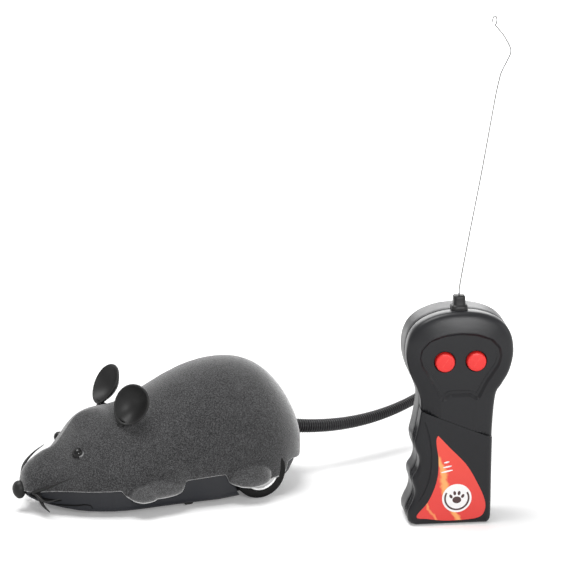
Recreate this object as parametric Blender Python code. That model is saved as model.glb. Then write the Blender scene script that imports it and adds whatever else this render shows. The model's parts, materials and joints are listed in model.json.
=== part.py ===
"""Robotic mouse cat toy with its two-button radio remote control.

The mouse runs along X with its nose towards -X, Z is up and the floor is z = 0.
The remote control stands in front of the tail, turned a little about Z.
All lengths are in metres. A name that ends in SHARE or SHARES is a fraction of
the size that its comment names.
"""
import bmesh
import bpy
import numpy as np
from math import acos, asin, atan2, ceil, cos, degrees, pi, radians, sin, sqrt
from mathutils import Matrix, Vector

# Fits used all over the part
GAP = 0.0003              # between fixed pieces that touch
RUN_GAP = 0.0004          # between a turning or sliding piece and what holds it
OVERRUN = 0.002           # how far a cutter goes past the face it opens
SINK = 0.001              # how deep a joined form reaches into its neighbour

# Mouse body: a loft along X between the nose end and the rump
HEAD_ROOM = 0.0243        # from the front roller's pivot forward to the nose end
RUMP_ROOM = 0.0314        # from the rear axle back to the rump
NOSE_REACH = 0.072        # from the frame's origin forward to the nose end
BODY_HEIGHT = 0.0654      # crown of the back above the floor
SIDE_ROOM = 0.0102        # from the battery box out to the hips
SHELL_WALL = 0.0018
# Each row is one section: place along BODY_LENGTH, crown and widest height as
# shares of BODY_HEIGHT, half width as a share of BODY_HALF_WIDTH, and the
# power that makes the flank round (1) or hollow (above 1).
BODY_SECTION_SHARES = (
    (0.000, 0.185, 0.185, 0.000, 1.0),
    (0.005, 0.285, 0.187, 0.128, 1.0),
    (0.020, 0.345, 0.190, 0.205, 1.0),
    (0.045, 0.395, 0.194, 0.280, 1.1),
    (0.082, 0.446, 0.200, 0.372, 1.3),
    (0.123, 0.484, 0.205, 0.510, 1.55),
    (0.160, 0.584, 0.210, 0.640, 1.7),
    (0.192, 0.676, 0.214, 0.722, 1.7),
    (0.222, 0.714, 0.218, 0.785, 1.5),
    (0.265, 0.729, 0.226, 0.860, 1.25),
    (0.312, 0.724, 0.238, 0.905, 1.05),
    (0.360, 0.730, 0.250, 0.922, 1.0),
    (0.415, 0.769, 0.262, 0.926, 1.0),
    (0.480, 0.842, 0.274, 0.934, 1.0),
    (0.550, 0.918, 0.290, 0.952, 1.0),
    (0.630, 0.978, 0.308, 0.978, 1.0),
    (0.715, 1.000, 0.322, 1.000, 1.0),
    (0.795, 0.978, 0.330, 0.985, 1.0),
    (0.862, 0.906, 0.334, 0.905, 1.0),
    (0.918, 0.782, 0.336, 0.755, 1.0),
    (0.960, 0.626, 0.336, 0.560, 1.0),
    (0.987, 0.470, 0.336, 0.330, 1.0),
    (0.998, 0.376, 0.336, 0.130, 1.0),
    (1.000, 0.336, 0.336, 0.000, 1.0),
)
FLANK_POINTS = 7          # points of each flank above the widest height
SKIRT_POINTS = 2          # points of each flank below it
SKIRT_TUCK_SHARE = 0.02   # how far the skirt draws in, of the half width
SKIRT_LOW_SHARE = 0.11    # lowest height of the untrimmed skirt, of BODY_HEIGHT
# Lower edge of the shell seen from the side: place along BODY_LENGTH and
# height as a share of BODY_HEIGHT, from the nose round both feet to the rump.
SHELL_EDGE_SHARES = (
    (-0.05, 0.170), (0.030, 0.172), (0.150, 0.199), (0.292, 0.208),
    (0.298, 0.168), (0.316, 0.136), (0.345, 0.121), (0.488, 0.138),
    (0.508, 0.228), (0.656, 0.241), (0.664, 0.168), (0.700, 0.140),
    (0.745, 0.130), (0.790, 0.140), (0.868, 0.158), (0.884, 0.178),
    (0.893, 0.245), (0.915, 0.255), (0.960, 0.228), (1.050, 0.226),
)
# Feet: each row is an ellipsoid's place along BODY_LENGTH, height as a share
# of BODY_HEIGHT, distance from the middle as a share of BODY_HALF_WIDTH, and
# its half length, half width and half height as shares of the same three.
FRONT_FOOT_SHARES = (
    (0.362, 0.166, 0.925, 0.050, 0.160, 0.076),
    (0.425, 0.190, 0.890, 0.086, 0.160, 0.078),
    (0.466, 0.275, 0.850, 0.058, 0.130, 0.125),
)
REAR_FOOT_SHARES = ((0.741, 0.194, 0.935, 0.075, 0.205, 0.108),)
FOOT_RINGS = 7
FOOT_SIDES = 14

# Chassis: the bare lower shell, a tray with the jaw at its front
CHASSIS_WALL = 0.0018
CHASSIS_FRONT_SHARE = 0.012   # of BODY_LENGTH
CHASSIS_REAR_SHARE = 0.955
CHASSIS_STEP = 0.0011         # how far the tray stands in from the shell's side
BELLY_CLEARANCE = 0.0022      # the belly above the floor
BELLY_CORNER = 0.0034         # radius along the belly's edges
# Height of the underside: place along BODY_LENGTH, height above the belly as
# a share of BODY_HEIGHT.
BELLY_RISE_SHARES = (
    (0.012, 0.100), (0.025, 0.078), (0.050, 0.050), (0.090, 0.022),
    (0.140, 0.006), (0.200, 0.000), (0.640, 0.000), (0.760, 0.022),
    (0.860, 0.050), (0.920, 0.085), (0.955, 0.130),
)
CHASSIS_TAIL_SHARE = 0.62     # rear half width, of the shell's there
TRAY_EDGE_DROP = GAP          # the tray's rim below the shell's edge

# Wheels and drive train; every place follows from the rear axle
TYRE_RADIUS = 0.0135
TYRE_WIDTH = 0.006
TYRE_WALL = 0.004
TREAD_DEPTH = 0.0006
TREAD_RIDGES = 3
WHEEL_ROOM = 0.0018           # round the tyre, in the wheel well
WHEEL_SIDE_ROOM = 0.0012      # between the tyre and the shell's skirt
HUB_DISH = 0.0014
HUB_BOSS_RADIUS = 0.0033
AXLE_RADIUS = 0.0015
WELL_WALL = 0.0018
POST_HALF_LENGTH = 0.0042
POST_RISE = 0.0042            # bearing post above the axle's centre
GEAR_MODULE = 0.0006
WHEEL_TEETH = 20
PINION_TEETH = 10
GEAR_WIDTH = 0.0034
PINION_WIDTH = 0.0040
GEAR_STAGGER = 0.0006
FRAME_OFFSET = 0.0042         # inner plate of the gear frame, off the middle
IDLER_LEAN = radians(60)      # from the axle, up and forward
MOTOR_LEAN = radians(8)       # from the idler, up and forward
IDLER_PIN_RADIUS = 0.0010
MOTOR_RADIUS = 0.0100
MOTOR_HALF_FLAT = 0.0076
MOTOR_LENGTH = 0.0250
MOTOR_SHAFT_RADIUS = 0.0010
MOTOR_BOSS_RADIUS = 0.0030
MOTOR_BOSS_LENGTH = 0.0012
FRAME_PLATE = 0.0013
FRAME_RIM = 0.0030            # plate outside its outermost bearing
CRADLE_THICKNESS = 0.0016

# Front caster
CASTER_WHEEL_RADIUS = 0.0045
CASTER_WHEEL_WIDTH = 0.0050
CASTER_TRAIL = 0.0022
CASTER_PIN_RADIUS = 0.0008
TURRET_RADIUS = 0.0079
TURRET_ROOF = 0.0012
TURRET_FLOOR_RISE = 0.0005    # turret's underside above the belly
PIVOT_RADIUS = 0.0015
PIVOT_LENGTH = 0.0030
CUP_WALL = 0.0013
CASTER_STANDOFF = 0.0014      # between the cup and the battery box

# Cells and their box, in the mouse and in the remote control
CELL_RADIUS = 0.00725
CELL_LENGTH = 0.0505
CELL_NIPPLE_RADIUS = 0.0027
CELL_NIPPLE = 0.0010
CELL_GAP = 0.0003
SPRING_LENGTH = 0.0030
SPRING_RADIUS = 0.0031
SPRING_WIRE = 0.00030
SPRING_TURNS = 2
SPRING_STEPS = 8
MOUSE_CELLS = 3
BOX_WALL = 0.0013
MOTOR_STANDOFF = 0.0016       # between the battery box and the motor
DOOR_THICKNESS = 0.0016
DOOR_PIN_RADIUS = 0.0006
DOOR_PIN_REACH = 0.0010
HINGE_RISE = 0.0015           # hinge line behind the door's outer face
DOOR_EDGE_TURN = radians(40)  # how far the hinged edge is rounded

# Board and switch in the mouse
BOARD_LENGTH = 0.034
BOARD_WIDTH = 0.028
BOARD_THICKNESS = 0.0014
STANDOFF_HEIGHT = 0.0020
STANDOFF_RADIUS = 0.0017
CHIP_LENGTH = 0.009
CHIP_WIDTH = 0.006
CHIP_HEIGHT = 0.0018
SWITCH_BEHIND = 0.0060        # from the middle of the body, rearward
SWITCH_TRAVEL = 0.0025
SWITCH_LENGTH = 0.0050
SWITCH_WIDTH = 0.0022
SWITCH_DEPTH = 0.0014         # how far the knob hangs below the belly
SWITCH_BODY_HEIGHT = 0.0045
SWITCH_MARGIN = 0.0009

# Face, ears, whiskers and tail
NOSE_BALL_LENGTH = 0.0070
NOSE_BALL_WIDTH = 0.0076
NOSE_BALL_HEIGHT = 0.0088
NOSE_HEIGHT_SHARE = 0.166     # of BODY_HEIGHT
NOSE_STEM_RADIUS = 0.0011
NOSE_STEM_LENGTH = 0.0060
EYE_RADIUS = 0.0026
EYE_SHARES = (0.172, 0.400, 0.463)     # of length, half width and height
EYE_STEM_RADIUS = 0.0013
EYE_STEM_LENGTH = 0.0040
EAR_HEIGHT = 0.0200
EAR_WIDTH = 0.0180
EAR_WALL = 0.0012
EAR_CUP_SHARE = 0.20          # depth of the cup, of EAR_HEIGHT
EAR_SHARES = (0.325, 0.462, 0.668)     # foot: of length, half width, height
EAR_LEAN = radians(30)
EAR_SPLAY = radians(8)
EAR_TURN_LEFT = radians(40)      # outward, about the peg; turned by hand
EAR_TURN_RIGHT = radians(-14)
EAR_STEM_RADIUS = 0.0018
EAR_STEM_LENGTH = 0.0050
EAR_RINGS = 4
EAR_SIDES = 18
WHISKER_THICKNESS = 0.0007
WHISKER_TAB_LENGTH = 0.0050
WHISKER_TAB_WIDTH = 0.0046
WHISKER_STEPS = 4             # rings between two knots of a whisker
WHISKER_ROOT_SHARE = 0.6      # how far the first ring goes back into the root
WHISKER_TAPER = 0.85
WHISKER_FLATNESS = 0.5
# Three whiskers a side, each a start, a bend and a tip: forward of the body's
# middle as a share of BODY_LENGTH, outward of BODY_HALF_WIDTH, up of
# BODY_HEIGHT, and the width at the root as a share of the tab's.
WHISKER_SHARES = (
    ((0.036, 0.250, 0.180), (0.076, 0.440, 0.242), (0.130, 0.650, 0.326), 0.34),
    ((0.034, 0.250, 0.160), (0.050, 0.450, 0.130), (0.084, 0.700, 0.184), 0.34),
    ((0.042, 0.250, 0.155), (0.050, 0.345, 0.084), (0.068, 0.425, 0.034), 0.62),
)
TAIL_HEIGHT_SHARE = 0.372     # of BODY_HEIGHT
TAIL_LENGTH = 0.098
TAIL_RADIUS = 0.0034
TAIL_TIP_RADIUS = 0.0021
TAIL_SAG_SHARE = 0.188        # straight fall and curved rise, of TAIL_LENGTH
TAIL_RISE_SHARE = 0.251
TAIL_SWEEP_SHARE = 0.240      # sideways, of TAIL_LENGTH
TAIL_RIB_PITCH = 0.0013
TAIL_RIB_SHARE = 0.10         # depth of a rib, of the radius
TAIL_SIDES = 8
TAIL_FLANGE_RADIUS = 0.0052
TAIL_FLANGE = 0.0014

# Remote control, upright on its foot, seen from its front
REMOTE_HEIGHT = 0.1064
REMOTE_HALF_WIDTH = 0.0259
REMOTE_THICKNESS = 0.0257
REMOTE_FRONT_DEPTH = 0.0096   # from the front face back to the case joint
REMOTE_WALL = 0.0020
REMOTE_FRONT_ROUND = 0.0030
REMOTE_BACK_ROUND = 0.0030
REMOTE_PLACE_SHARES = (1.315, -2.66)   # of BODY_LENGTH and of BODY_HALF_WIDTH
REMOTE_TURN = radians(-16.8)
# Outline from the right of the foot round the head and down the finger grips:
# across as a share of REMOTE_HALF_WIDTH, up as a share of REMOTE_HEIGHT.
REMOTE_OUTLINE_SHARES = (
    (0.540, 0.000), (0.600, 0.018), (0.612, 0.070), (0.616, 0.240),
    (0.622, 0.420), (0.640, 0.555), (0.680, 0.602), (0.795, 0.655),
    (0.920, 0.710), (0.992, 0.775), (1.000, 0.830), (0.955, 0.885),
    (0.840, 0.932), (0.640, 0.968), (0.340, 0.993), (0.000, 1.000),
    (-0.340, 0.993), (-0.640, 0.968), (-0.840, 0.932), (-0.955, 0.885),
    (-1.000, 0.830), (-0.992, 0.775), (-0.920, 0.710), (-0.810, 0.652),
    (-0.735, 0.602), (-0.718, 0.562), (-0.748, 0.505), (-0.795, 0.445),
    (-0.836, 0.398), (-0.815, 0.358), (-0.762, 0.325), (-0.752, 0.293),
    (-0.790, 0.262), (-0.866, 0.232), (-0.872, 0.203), (-0.838, 0.174),
    (-0.830, 0.148), (-0.862, 0.116), (-0.938, 0.076), (-0.966, 0.046),
    (-0.930, 0.014), (-0.800, 0.000),
)
OUTLINE_STEPS = 2
INSET_STEP = 0.0002           # an outline moves inward by this at a time
CLOSE_SHARE = 0.6             # points closer than this share of their start are spread again
NORMAL_FLOOR = 0.5            # keeps sharp corners from running away
SPLIT_LEFT_SHARE = 0.574      # height of the slanting joint, of REMOTE_HEIGHT
SPLIT_RIGHT_SHARE = 0.371
PANEL_DEPTH = 0.0020
PANEL_WALL = 0.0016
PANEL_SLOPE = 0.0016          # how far the bezel's slope leans outward
# Right half of the sunken panel, from its notch up to its top
PANEL_SHARES = (
    (0.000, 0.623), (0.190, 0.623), (0.320, 0.603), (0.480, 0.680),
    (0.690, 0.755), (0.735, 0.795), (0.700, 0.830), (0.560, 0.867),
    (0.300, 0.889), (0.000, 0.896),
)
BUTTON_RADIUS = 0.0047
BUTTON_SPREAD = 0.0152        # between the two centres
BUTTON_HEIGHT_SHARE = 0.771   # of REMOTE_HEIGHT
BUTTON_PROUD = 0.0019
BUTTON_TRAVEL = 0.0010
BUTTON_FLANGE = 0.0010
BUTTON_FLANGE_RADIUS = 0.0060
BUTTON_STEM = 0.0010
BUTTON_ROUND = 0.0006
PLUNGER_RADIUS = 0.0016
PLUNGER = 0.0003
TACT_HALF = 0.0030
TACT_HEIGHT = 0.0024
REMOTE_BOARD_HALF_WIDTH = 0.0148
REMOTE_BOARD_LOW_SHARE = 0.640
REMOTE_BOARD_HIGH_SHARE = 0.915
REMOTE_CELL_SHARE = -0.085    # middle of the two cells, of REMOTE_HALF_WIDTH
BOOT_WIDTH = 0.0082
BOOT_HEIGHT = 0.0062
BOOT_NECK_WIDTH = 0.0060
BOOT_NECK_HEIGHT = 0.0048
BOOT_CHAMFER = 0.0012
BOOT_FOOT = 0.0040            # how deep the boot stands in the case
ANTENNA_RADIUS = 0.00035
ANTENNA_LENGTH = 0.1352       # from the boot's top to the loop's top
ANTENNA_ROOT = 0.0040         # inside the boot
# The wire's path: sideways and up, as shares of ANTENNA_LENGTH
ANTENNA_SHARES = (
    (0.000, 0.000), (0.003, 0.040), (0.029, 0.194), (0.074, 0.448),
    (0.115, 0.699), (0.129, 0.770), (0.138, 0.802), (0.163, 0.853),
    (0.168, 0.873), (0.163, 0.892), (0.143, 0.927), (0.122, 0.953),
    (0.110, 0.966),
)
LOOP_HALF_WIDTH = 0.0010
LOOP_HEIGHT = 0.0042

# Heights and places worked out from the sizes above
CELL_PITCH = 2 * CELL_RADIUS + CELL_GAP
BAY_HALF_WIDTH = MOUSE_CELLS * CELL_PITCH / 2 + CELL_GAP
BODY_HALF_WIDTH = BAY_HALF_WIDTH + BOX_WALL + SIDE_ROOM
AXLE_Z = TYRE_RADIUS
WHEEL_OUT = BODY_HALF_WIDTH - SHELL_WALL - WHEEL_SIDE_ROOM
WHEEL_IN = WHEEL_OUT - TYRE_WIDTH
WELL_RADIUS = TYRE_RADIUS + WHEEL_ROOM
WELL_IN = WHEEL_IN - RUN_GAP - GAP
BELLY = BELLY_CLEARANCE
FLOOR_TOP = BELLY + CHASSIS_WALL
BIG_PITCH = GEAR_MODULE * WHEEL_TEETH / 2
SMALL_PITCH = GEAR_MODULE * PINION_TEETH / 2
CENTRES = BIG_PITCH + SMALL_PITCH
IDLER_Z = AXLE_Z + CENTRES * sin(IDLER_LEAN)
MOTOR_Z = IDLER_Z + CENTRES * sin(MOTOR_LEAN)
BAY_LENGTH = CELL_LENGTH + SPRING_LENGTH + 2 * CELL_GAP
CELL_Z = BELLY + DOOR_THICKNESS + CELL_GAP + CELL_RADIUS
BAY_ROOF = CELL_Z + CELL_RADIUS + CELL_GAP
BOX_ROOF = BAY_ROOF + BOX_WALL
TURRET_LOW = BELLY + TURRET_FLOOR_RISE
SLOT_ROOF = 2 * CASTER_WHEEL_RADIUS + RUN_GAP
TURRET_TOP = SLOT_ROOF + TURRET_ROOF
CUP_ROOF = TURRET_TOP + RUN_GAP
CUP_TOP = CUP_ROOF + CUP_WALL
CUP_RADIUS = TURRET_RADIUS + RUN_GAP
# The body is as long as what stands in a row inside it: the front roller, the
# battery box, the motor and the gears down to the rear axle
CASTER_X = HEAD_ROOM - NOSE_REACH
BOX_OUT_FRONT = CASTER_X + CUP_RADIUS + CUP_WALL + CASTER_STANDOFF
BAY_FRONT = BOX_OUT_FRONT + BOX_WALL
BAY_REAR = BAY_FRONT + BAY_LENGTH
BOX_OUT_REAR = BAY_REAR + BOX_WALL
MOTOR_X = BOX_OUT_REAR + MOTOR_STANDOFF + MOTOR_HALF_FLAT
IDLER_X = MOTOR_X + CENTRES * cos(MOTOR_LEAN)
AXLE_X = IDLER_X + CENTRES * cos(IDLER_LEAN)
BODY_LENGTH = AXLE_X + RUMP_ROOM + NOSE_REACH
AXLE_SHARE = (AXLE_X + NOSE_REACH) / BODY_LENGTH
GEAR_IN = FRAME_OFFSET + FRAME_PLATE + RUN_GAP
BIG_GEAR_Y = GEAR_IN + PINION_WIDTH + GEAR_STAGGER
GEARS_OUT = BIG_GEAR_Y + GEAR_WIDTH + GEAR_STAGGER
FRONT_FACE = -REMOTE_THICKNESS / 2
BACK_FACE = REMOTE_THICKNESS / 2
CASE_JOINT = FRONT_FACE + REMOTE_FRONT_DEPTH
PANEL_FACE = FRONT_FACE + PANEL_DEPTH
PANEL_BACK = PANEL_FACE + PANEL_WALL
BUTTON_Z = BUTTON_HEIGHT_SHARE * REMOTE_HEIGHT
FLANGE_BACK = PANEL_BACK + GAP + BUTTON_FLANGE
STEM_END = FLANGE_BACK + BUTTON_STEM
PLUNGER_TIP = STEM_END + BUTTON_TRAVEL + GAP
BOARD_FACE = PLUNGER_TIP + PLUNGER + TACT_HEIGHT
REMOTE_CELL_Y = BACK_FACE - DOOR_THICKNESS - 2 * CELL_GAP - CELL_RADIUS
REMOTE_CELL_X = REMOTE_CELL_SHARE * REMOTE_HALF_WIDTH
REMOTE_BAY_LOW = REMOTE_WALL + CELL_GAP
REMOTE_BAY_HIGH = REMOTE_BAY_LOW + CELL_LENGTH + SPRING_LENGTH + 2 * CELL_GAP
REMOTE_BAY_HALF = CELL_PITCH + CELL_GAP


def clear_scene():
    """Remove every object, so that the script can be run again."""
    for thing in list(bpy.data.objects):
        bpy.data.objects.remove(thing, do_unlink=True)


def finish(name, colour, roughness, metallic=0.0):
    """A plain material with the colour and gloss of one finish."""
    material = bpy.data.materials.new(name)
    material.use_nodes = True
    shader = material.node_tree.nodes["Principled BSDF"]
    shader.inputs["Base Color"].default_value = (*colour, 1.0)
    shader.inputs["Roughness"].default_value = roughness
    shader.inputs["Metallic"].default_value = metallic
    return material


def make_finishes():
    """Every finish of the part, by a plain name."""
    return {
        "flock": finish("grey_flock", (0.105, 0.108, 0.113), 0.95),
        "chassis": finish("slate_plastic", (0.050, 0.054, 0.062), 0.55),
        "rubber": finish("black_rubber", (0.016, 0.016, 0.017), 0.50),
        "bead": finish("eye_bead", (0.020, 0.024, 0.034), 0.12),
        "case": finish("remote_plastic", (0.030, 0.031, 0.034), 0.42),
        "red": finish("button_red", (0.760, 0.030, 0.030), 0.35),
        "chrome": finish("bright_hub", (0.780, 0.780, 0.790), 0.20, 1.0),
        "steel": finish("steel", (0.560, 0.570, 0.580), 0.30, 1.0),
        "gear": finish("gear_nylon", (0.760, 0.750, 0.700), 0.45),
        "board": finish("circuit_board", (0.040, 0.180, 0.070), 0.50),
        "cell": finish("cell_sleeve", (0.120, 0.260, 0.500), 0.35),
    }


def mesh_object(name, points, faces, material, parent=None, place=(0, 0, 0)):
    """One object from points and faces, shaded smooth where it is round."""
    mesh = bpy.data.meshes.new(name)
    mesh.from_pydata([tuple(point) for point in points], [], faces)
    mesh.validate()
    mesh.update()
    mesh.materials.append(material)
    mesh.shade_smooth()
    mesh.set_sharp_from_angle(angle=radians(35))
    thing = bpy.data.objects.new(name, mesh)
    bpy.context.scene.collection.objects.link(thing)
    thing.parent = parent
    thing.location = place
    return thing


def collapsed(ring):
    """Whether a ring has shrunk to a line or a point, so that it needs no cap."""
    start = Vector(ring[0])
    area = Vector((0, 0, 0))
    for one, other in zip(ring[1:], ring[2:]):
        area += (Vector(one) - start).cross(Vector(other) - start)
    return area.length < GAP * GAP / 100


def loft(rings, closed=False):
    """Points and faces of a closed skin over rings of equal point counts.

    closed joins the last ring to the first, else both ends are capped unless
    they have shrunk to a line or a point.
    """
    count = len(rings[0])
    points = [point for ring in rings for point in ring]
    faces = []
    spans = len(rings) if closed else len(rings) - 1
    for span in range(spans):
        low, high = span * count, (span + 1) % len(rings) * count
        for side in range(count):
            after = (side + 1) % count
            faces.append((low + side, low + after, high + after, high + side))
    if not closed and not collapsed(rings[0]):
        faces.append(tuple(reversed(range(count))))
    if not closed and not collapsed(rings[-1]):
        last = (len(rings) - 1) * count
        faces.append(tuple(range(last, last + count)))
    return points, faces


def tidy(points, faces):
    """Merge points that coincide and turn every face outward."""
    work = bmesh.new()
    made = [work.verts.new(point) for point in points]
    for face in faces:
        work.faces.new([made[index] for index in face])
    bmesh.ops.remove_doubles(work, verts=work.verts, dist=GAP / 100)
    bmesh.ops.dissolve_degenerate(work, edges=work.edges, dist=GAP / 100)
    bmesh.ops.recalc_face_normals(work, faces=work.faces)
    work.verts.index_update()
    points = [tuple(vert.co) for vert in work.verts]
    faces = [tuple(vert.index for vert in face.verts) for face in work.faces]
    work.free()
    return points, faces


def solid(name, rings, material, parent=None, place=(0, 0, 0), closed=False):
    """A closed lofted object."""
    points, faces = tidy(*loft(rings, closed))
    return mesh_object(name, points, faces, material, parent, place)


def as_cutter(thing):
    """Leave an object out of the part and show it as a wire."""
    thing.hide_render = True
    thing.display_type = "WIRE"
    return thing


def boolean(thing, other, operation):
    """Add one Boolean modifier and keep the other object as a guide."""
    change = thing.modifiers.new(other.name, "BOOLEAN")
    change.operation = operation
    change.solver = "EXACT"
    change.object = as_cutter(other)
    return thing


def cut(thing, *others):
    """Take the other objects out of the first."""
    for other in others:
        boolean(thing, other, "DIFFERENCE")
    return thing


def join(thing, *others):
    """Add the other objects to the first."""
    for other in others:
        boolean(thing, other, "UNION")
    return thing


def box(name, low, high, material, parent=None):
    """A block between two corners."""
    (x0, y0, z0), (x1, y1, z1) = low, high
    rings = [[(x0, y0, z), (x1, y0, z), (x1, y1, z), (x0, y1, z)] for z in (z0, z1)]
    return solid(name, rings, material, parent)


def turned(name, profile, material, parent=None, place=(0, 0, 0), axis="Y", sides=24, closed=False):
    """A solid of revolution; the profile is a list of (along the axis, radius).

    closed makes a ring whose profile is itself a closed outline.
    """
    def point(along, radius, angle):
        across, up = radius * cos(angle), radius * sin(angle)
        return {"X": (along, across, up), "Y": (across, along, up), "Z": (across, up, along)}[axis]

    angles = [2 * pi * side / sides for side in range(sides)]
    rings = [[point(along, radius, angle) for angle in angles] for along, radius in profile]
    return solid(name, rings, material, parent, place, closed)


def rod(name, start, end, radius, material, parent=None, place=(0, 0, 0), axis="Y", sides=20):
    """A plain round bar between two places on one axis."""
    profile = [(start, radius), (end, radius)]
    return turned(name, profile, material, parent, place, axis, sides)


def ellipsoid(name, centre, radii, material, parent=None, rings=FOOT_RINGS, sides=FOOT_SIDES):
    """A closed ellipsoid with its poles along X."""
    turns = [pi * (step + 1) / (rings + 1) for step in range(rings)]
    angles = [2 * pi * side / sides for side in range(sides)]

    def ring(turn, shrink):
        return [(centre[0] - radii[0] * cos(turn),
                 centre[1] + radii[1] * shrink * cos(angle),
                 centre[2] + radii[2] * shrink * sin(angle)) for angle in angles]

    body = [ring(0, 0)] + [ring(turn, sin(turn)) for turn in turns] + [ring(pi, 0)]
    return solid(name, body, material, parent)


def blend_rows(rows, steps):
    """Points on a smooth curve through the rows, steps to each span."""
    rows = [np.array(row, float) for row in rows]
    padded = [2 * rows[0] - rows[1], *rows, 2 * rows[-1] - rows[-2]]
    curve = []
    for before, start, end, after in zip(padded, padded[1:], padded[2:], padded[3:]):
        for step in range(steps):
            t = step / steps
            curve.append(0.5 * (2 * start + (end - before) * t
                                + (2 * before - 5 * start + 4 * end - after) * t * t
                                + (3 * start - before - 3 * end + after) * t ** 3))
    return curve + [rows[-1]]


def value_at(shares, place):
    """Straight interpolation of a table of (place, value) shares."""
    places, values = zip(*shares)
    return float(np.interp(place, places, values))


def body_x(share):
    """Place along the body, from its share of BODY_LENGTH."""
    return share * BODY_LENGTH - NOSE_REACH


def body_section(row, inset):
    """One ring of the body's skin, drawn in by inset on every side."""
    share, crown, widest, half, power = row
    half_width = max(half * BODY_HALF_WIDTH - inset, 0.0)
    middle = widest * BODY_HEIGHT
    rise = max(crown * BODY_HEIGHT - middle - inset, 0.0)
    low = SKIRT_LOW_SHARE * BODY_HEIGHT
    x = body_x(0.5) + (body_x(share) - body_x(0.5)) * (1 - 2 * inset / BODY_LENGTH)
    flank = []
    for step in range(SKIRT_POINTS):
        t = step / SKIRT_POINTS
        tuck = 1 - SKIRT_TUCK_SHARE * (1 - t) ** 2
        flank.append((half_width * tuck, low + (middle - low) * t))
    for step in range(FLANK_POINTS):
        angle = pi / 2 * step / FLANK_POINTS
        flank.append((half_width * cos(angle) ** power, middle + rise * sin(angle)))
    near = [(x, -y, z) for y, z in flank]
    far = [(x, y, z) for y, z in reversed(flank)]
    return near + [(x, 0.0, middle + rise)] + far


def body_form(name, inset, material, parent):
    """The body's closed form without feet, drawn in by inset."""
    rings = [body_section(row, inset) for row in BODY_SECTION_SHARES]
    return solid(name, rings, material, parent)


def side_cutter(name, outline, half_width, material, parent):
    """A block across the mouse with a side outline of (x, z)."""
    rings = [[(x, y, z) for x, z in outline] for y in (-half_width, half_width)]
    return solid(name, rings, material, parent)


def shell_trim(material, parent):
    """What lies below the shell's lower edge."""
    edge = [(body_x(share), height * BODY_HEIGHT) for share, height in SHELL_EDGE_SHARES]
    below = [(edge[-1][0], -OVERRUN), (edge[0][0], -OVERRUN)]
    return side_cutter("shell_trim", edge + below, 2 * BODY_HALF_WIDTH, material, parent)


def foot(name, shares, side, material, parent):
    """One ellipsoid of a foot; side is -1 for the left of the picture."""
    place, height, out, length, width, rise = shares
    centre = (body_x(place), side * out * BODY_HALF_WIDTH, height * BODY_HEIGHT)
    radii = (length * BODY_LENGTH, width * BODY_HALF_WIDTH, rise * BODY_HEIGHT)
    return ellipsoid(name, centre, radii, material, parent)


def body_half_width(share, inset=0.0):
    """Half width of the body at a place along it."""
    table = [(row[0], row[3]) for row in BODY_SECTION_SHARES]
    return value_at(table, share) * BODY_HALF_WIDTH - inset


def edge_height(share):
    """Height of the shell's seam, without the dips round the feet."""
    seam = [row for row in SHELL_EDGE_SHARES if row[0] < 0.295 or 0.5 < row[0] < 0.66 or row[0] > 0.94]
    return value_at(seam, share) * BODY_HEIGHT


def chassis_section(share, inset, floor, rim):
    """One ring of the tray: straight sides, rounded belly corners.

    inset is the wall on each side, floor the wall below, rim the extra height.
    """
    x = body_x(share)
    wide = body_half_width(share, CHASSIS_STEP + inset)
    if share > AXLE_SHARE:
        fade = (share - AXLE_SHARE) / (1 - AXLE_SHARE)
        wide *= 1 - (1 - CHASSIS_TAIL_SHARE) * fade ** 2
    low = BELLY + value_at(BELLY_RISE_SHARES, share) * BODY_HEIGHT + floor
    high = edge_height(share) - TRAY_EDGE_DROP + rim
    corner = min(BELLY_CORNER, wide * 0.5, (high - low) * 0.5)
    flank = [(wide, high), (wide, low + corner)]
    for angle in (pi / 6, pi / 3, pi / 2):
        flank.append((wide - corner * (1 - cos(angle)), low + corner * (1 - sin(angle))))
    near = [(x, -y, z) for y, z in flank]
    return near + [(x, y, z) for y, z in reversed(flank)]


def chassis_form(name, inset, floor, rim, material, parent):
    """The tray's closed form, drawn in or let out."""
    shares = [row[0] for row in BODY_SECTION_SHARES if CHASSIS_FRONT_SHARE < row[0] < CHASSIS_REAR_SHARE]
    shares = [CHASSIS_FRONT_SHARE, *shares, CHASSIS_REAR_SHARE]
    rings = [chassis_section(share, inset, floor, rim) for share in shares]
    for ring, move in ((rings[0], inset), (rings[-1], -inset)):
        ring[:] = [(x + move, y, z) for x, y, z in ring]
    return solid(name, rings, material, parent)


def wheel_well(name, side, inner, outer, material, parent):
    """A round well for one wheel, between two distances from the middle."""
    ends = sorted((side * inner, side * outer))
    return rod(name, *ends, WELL_RADIUS, material, parent, (AXLE_X, 0, AXLE_Z), sides=36)


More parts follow.
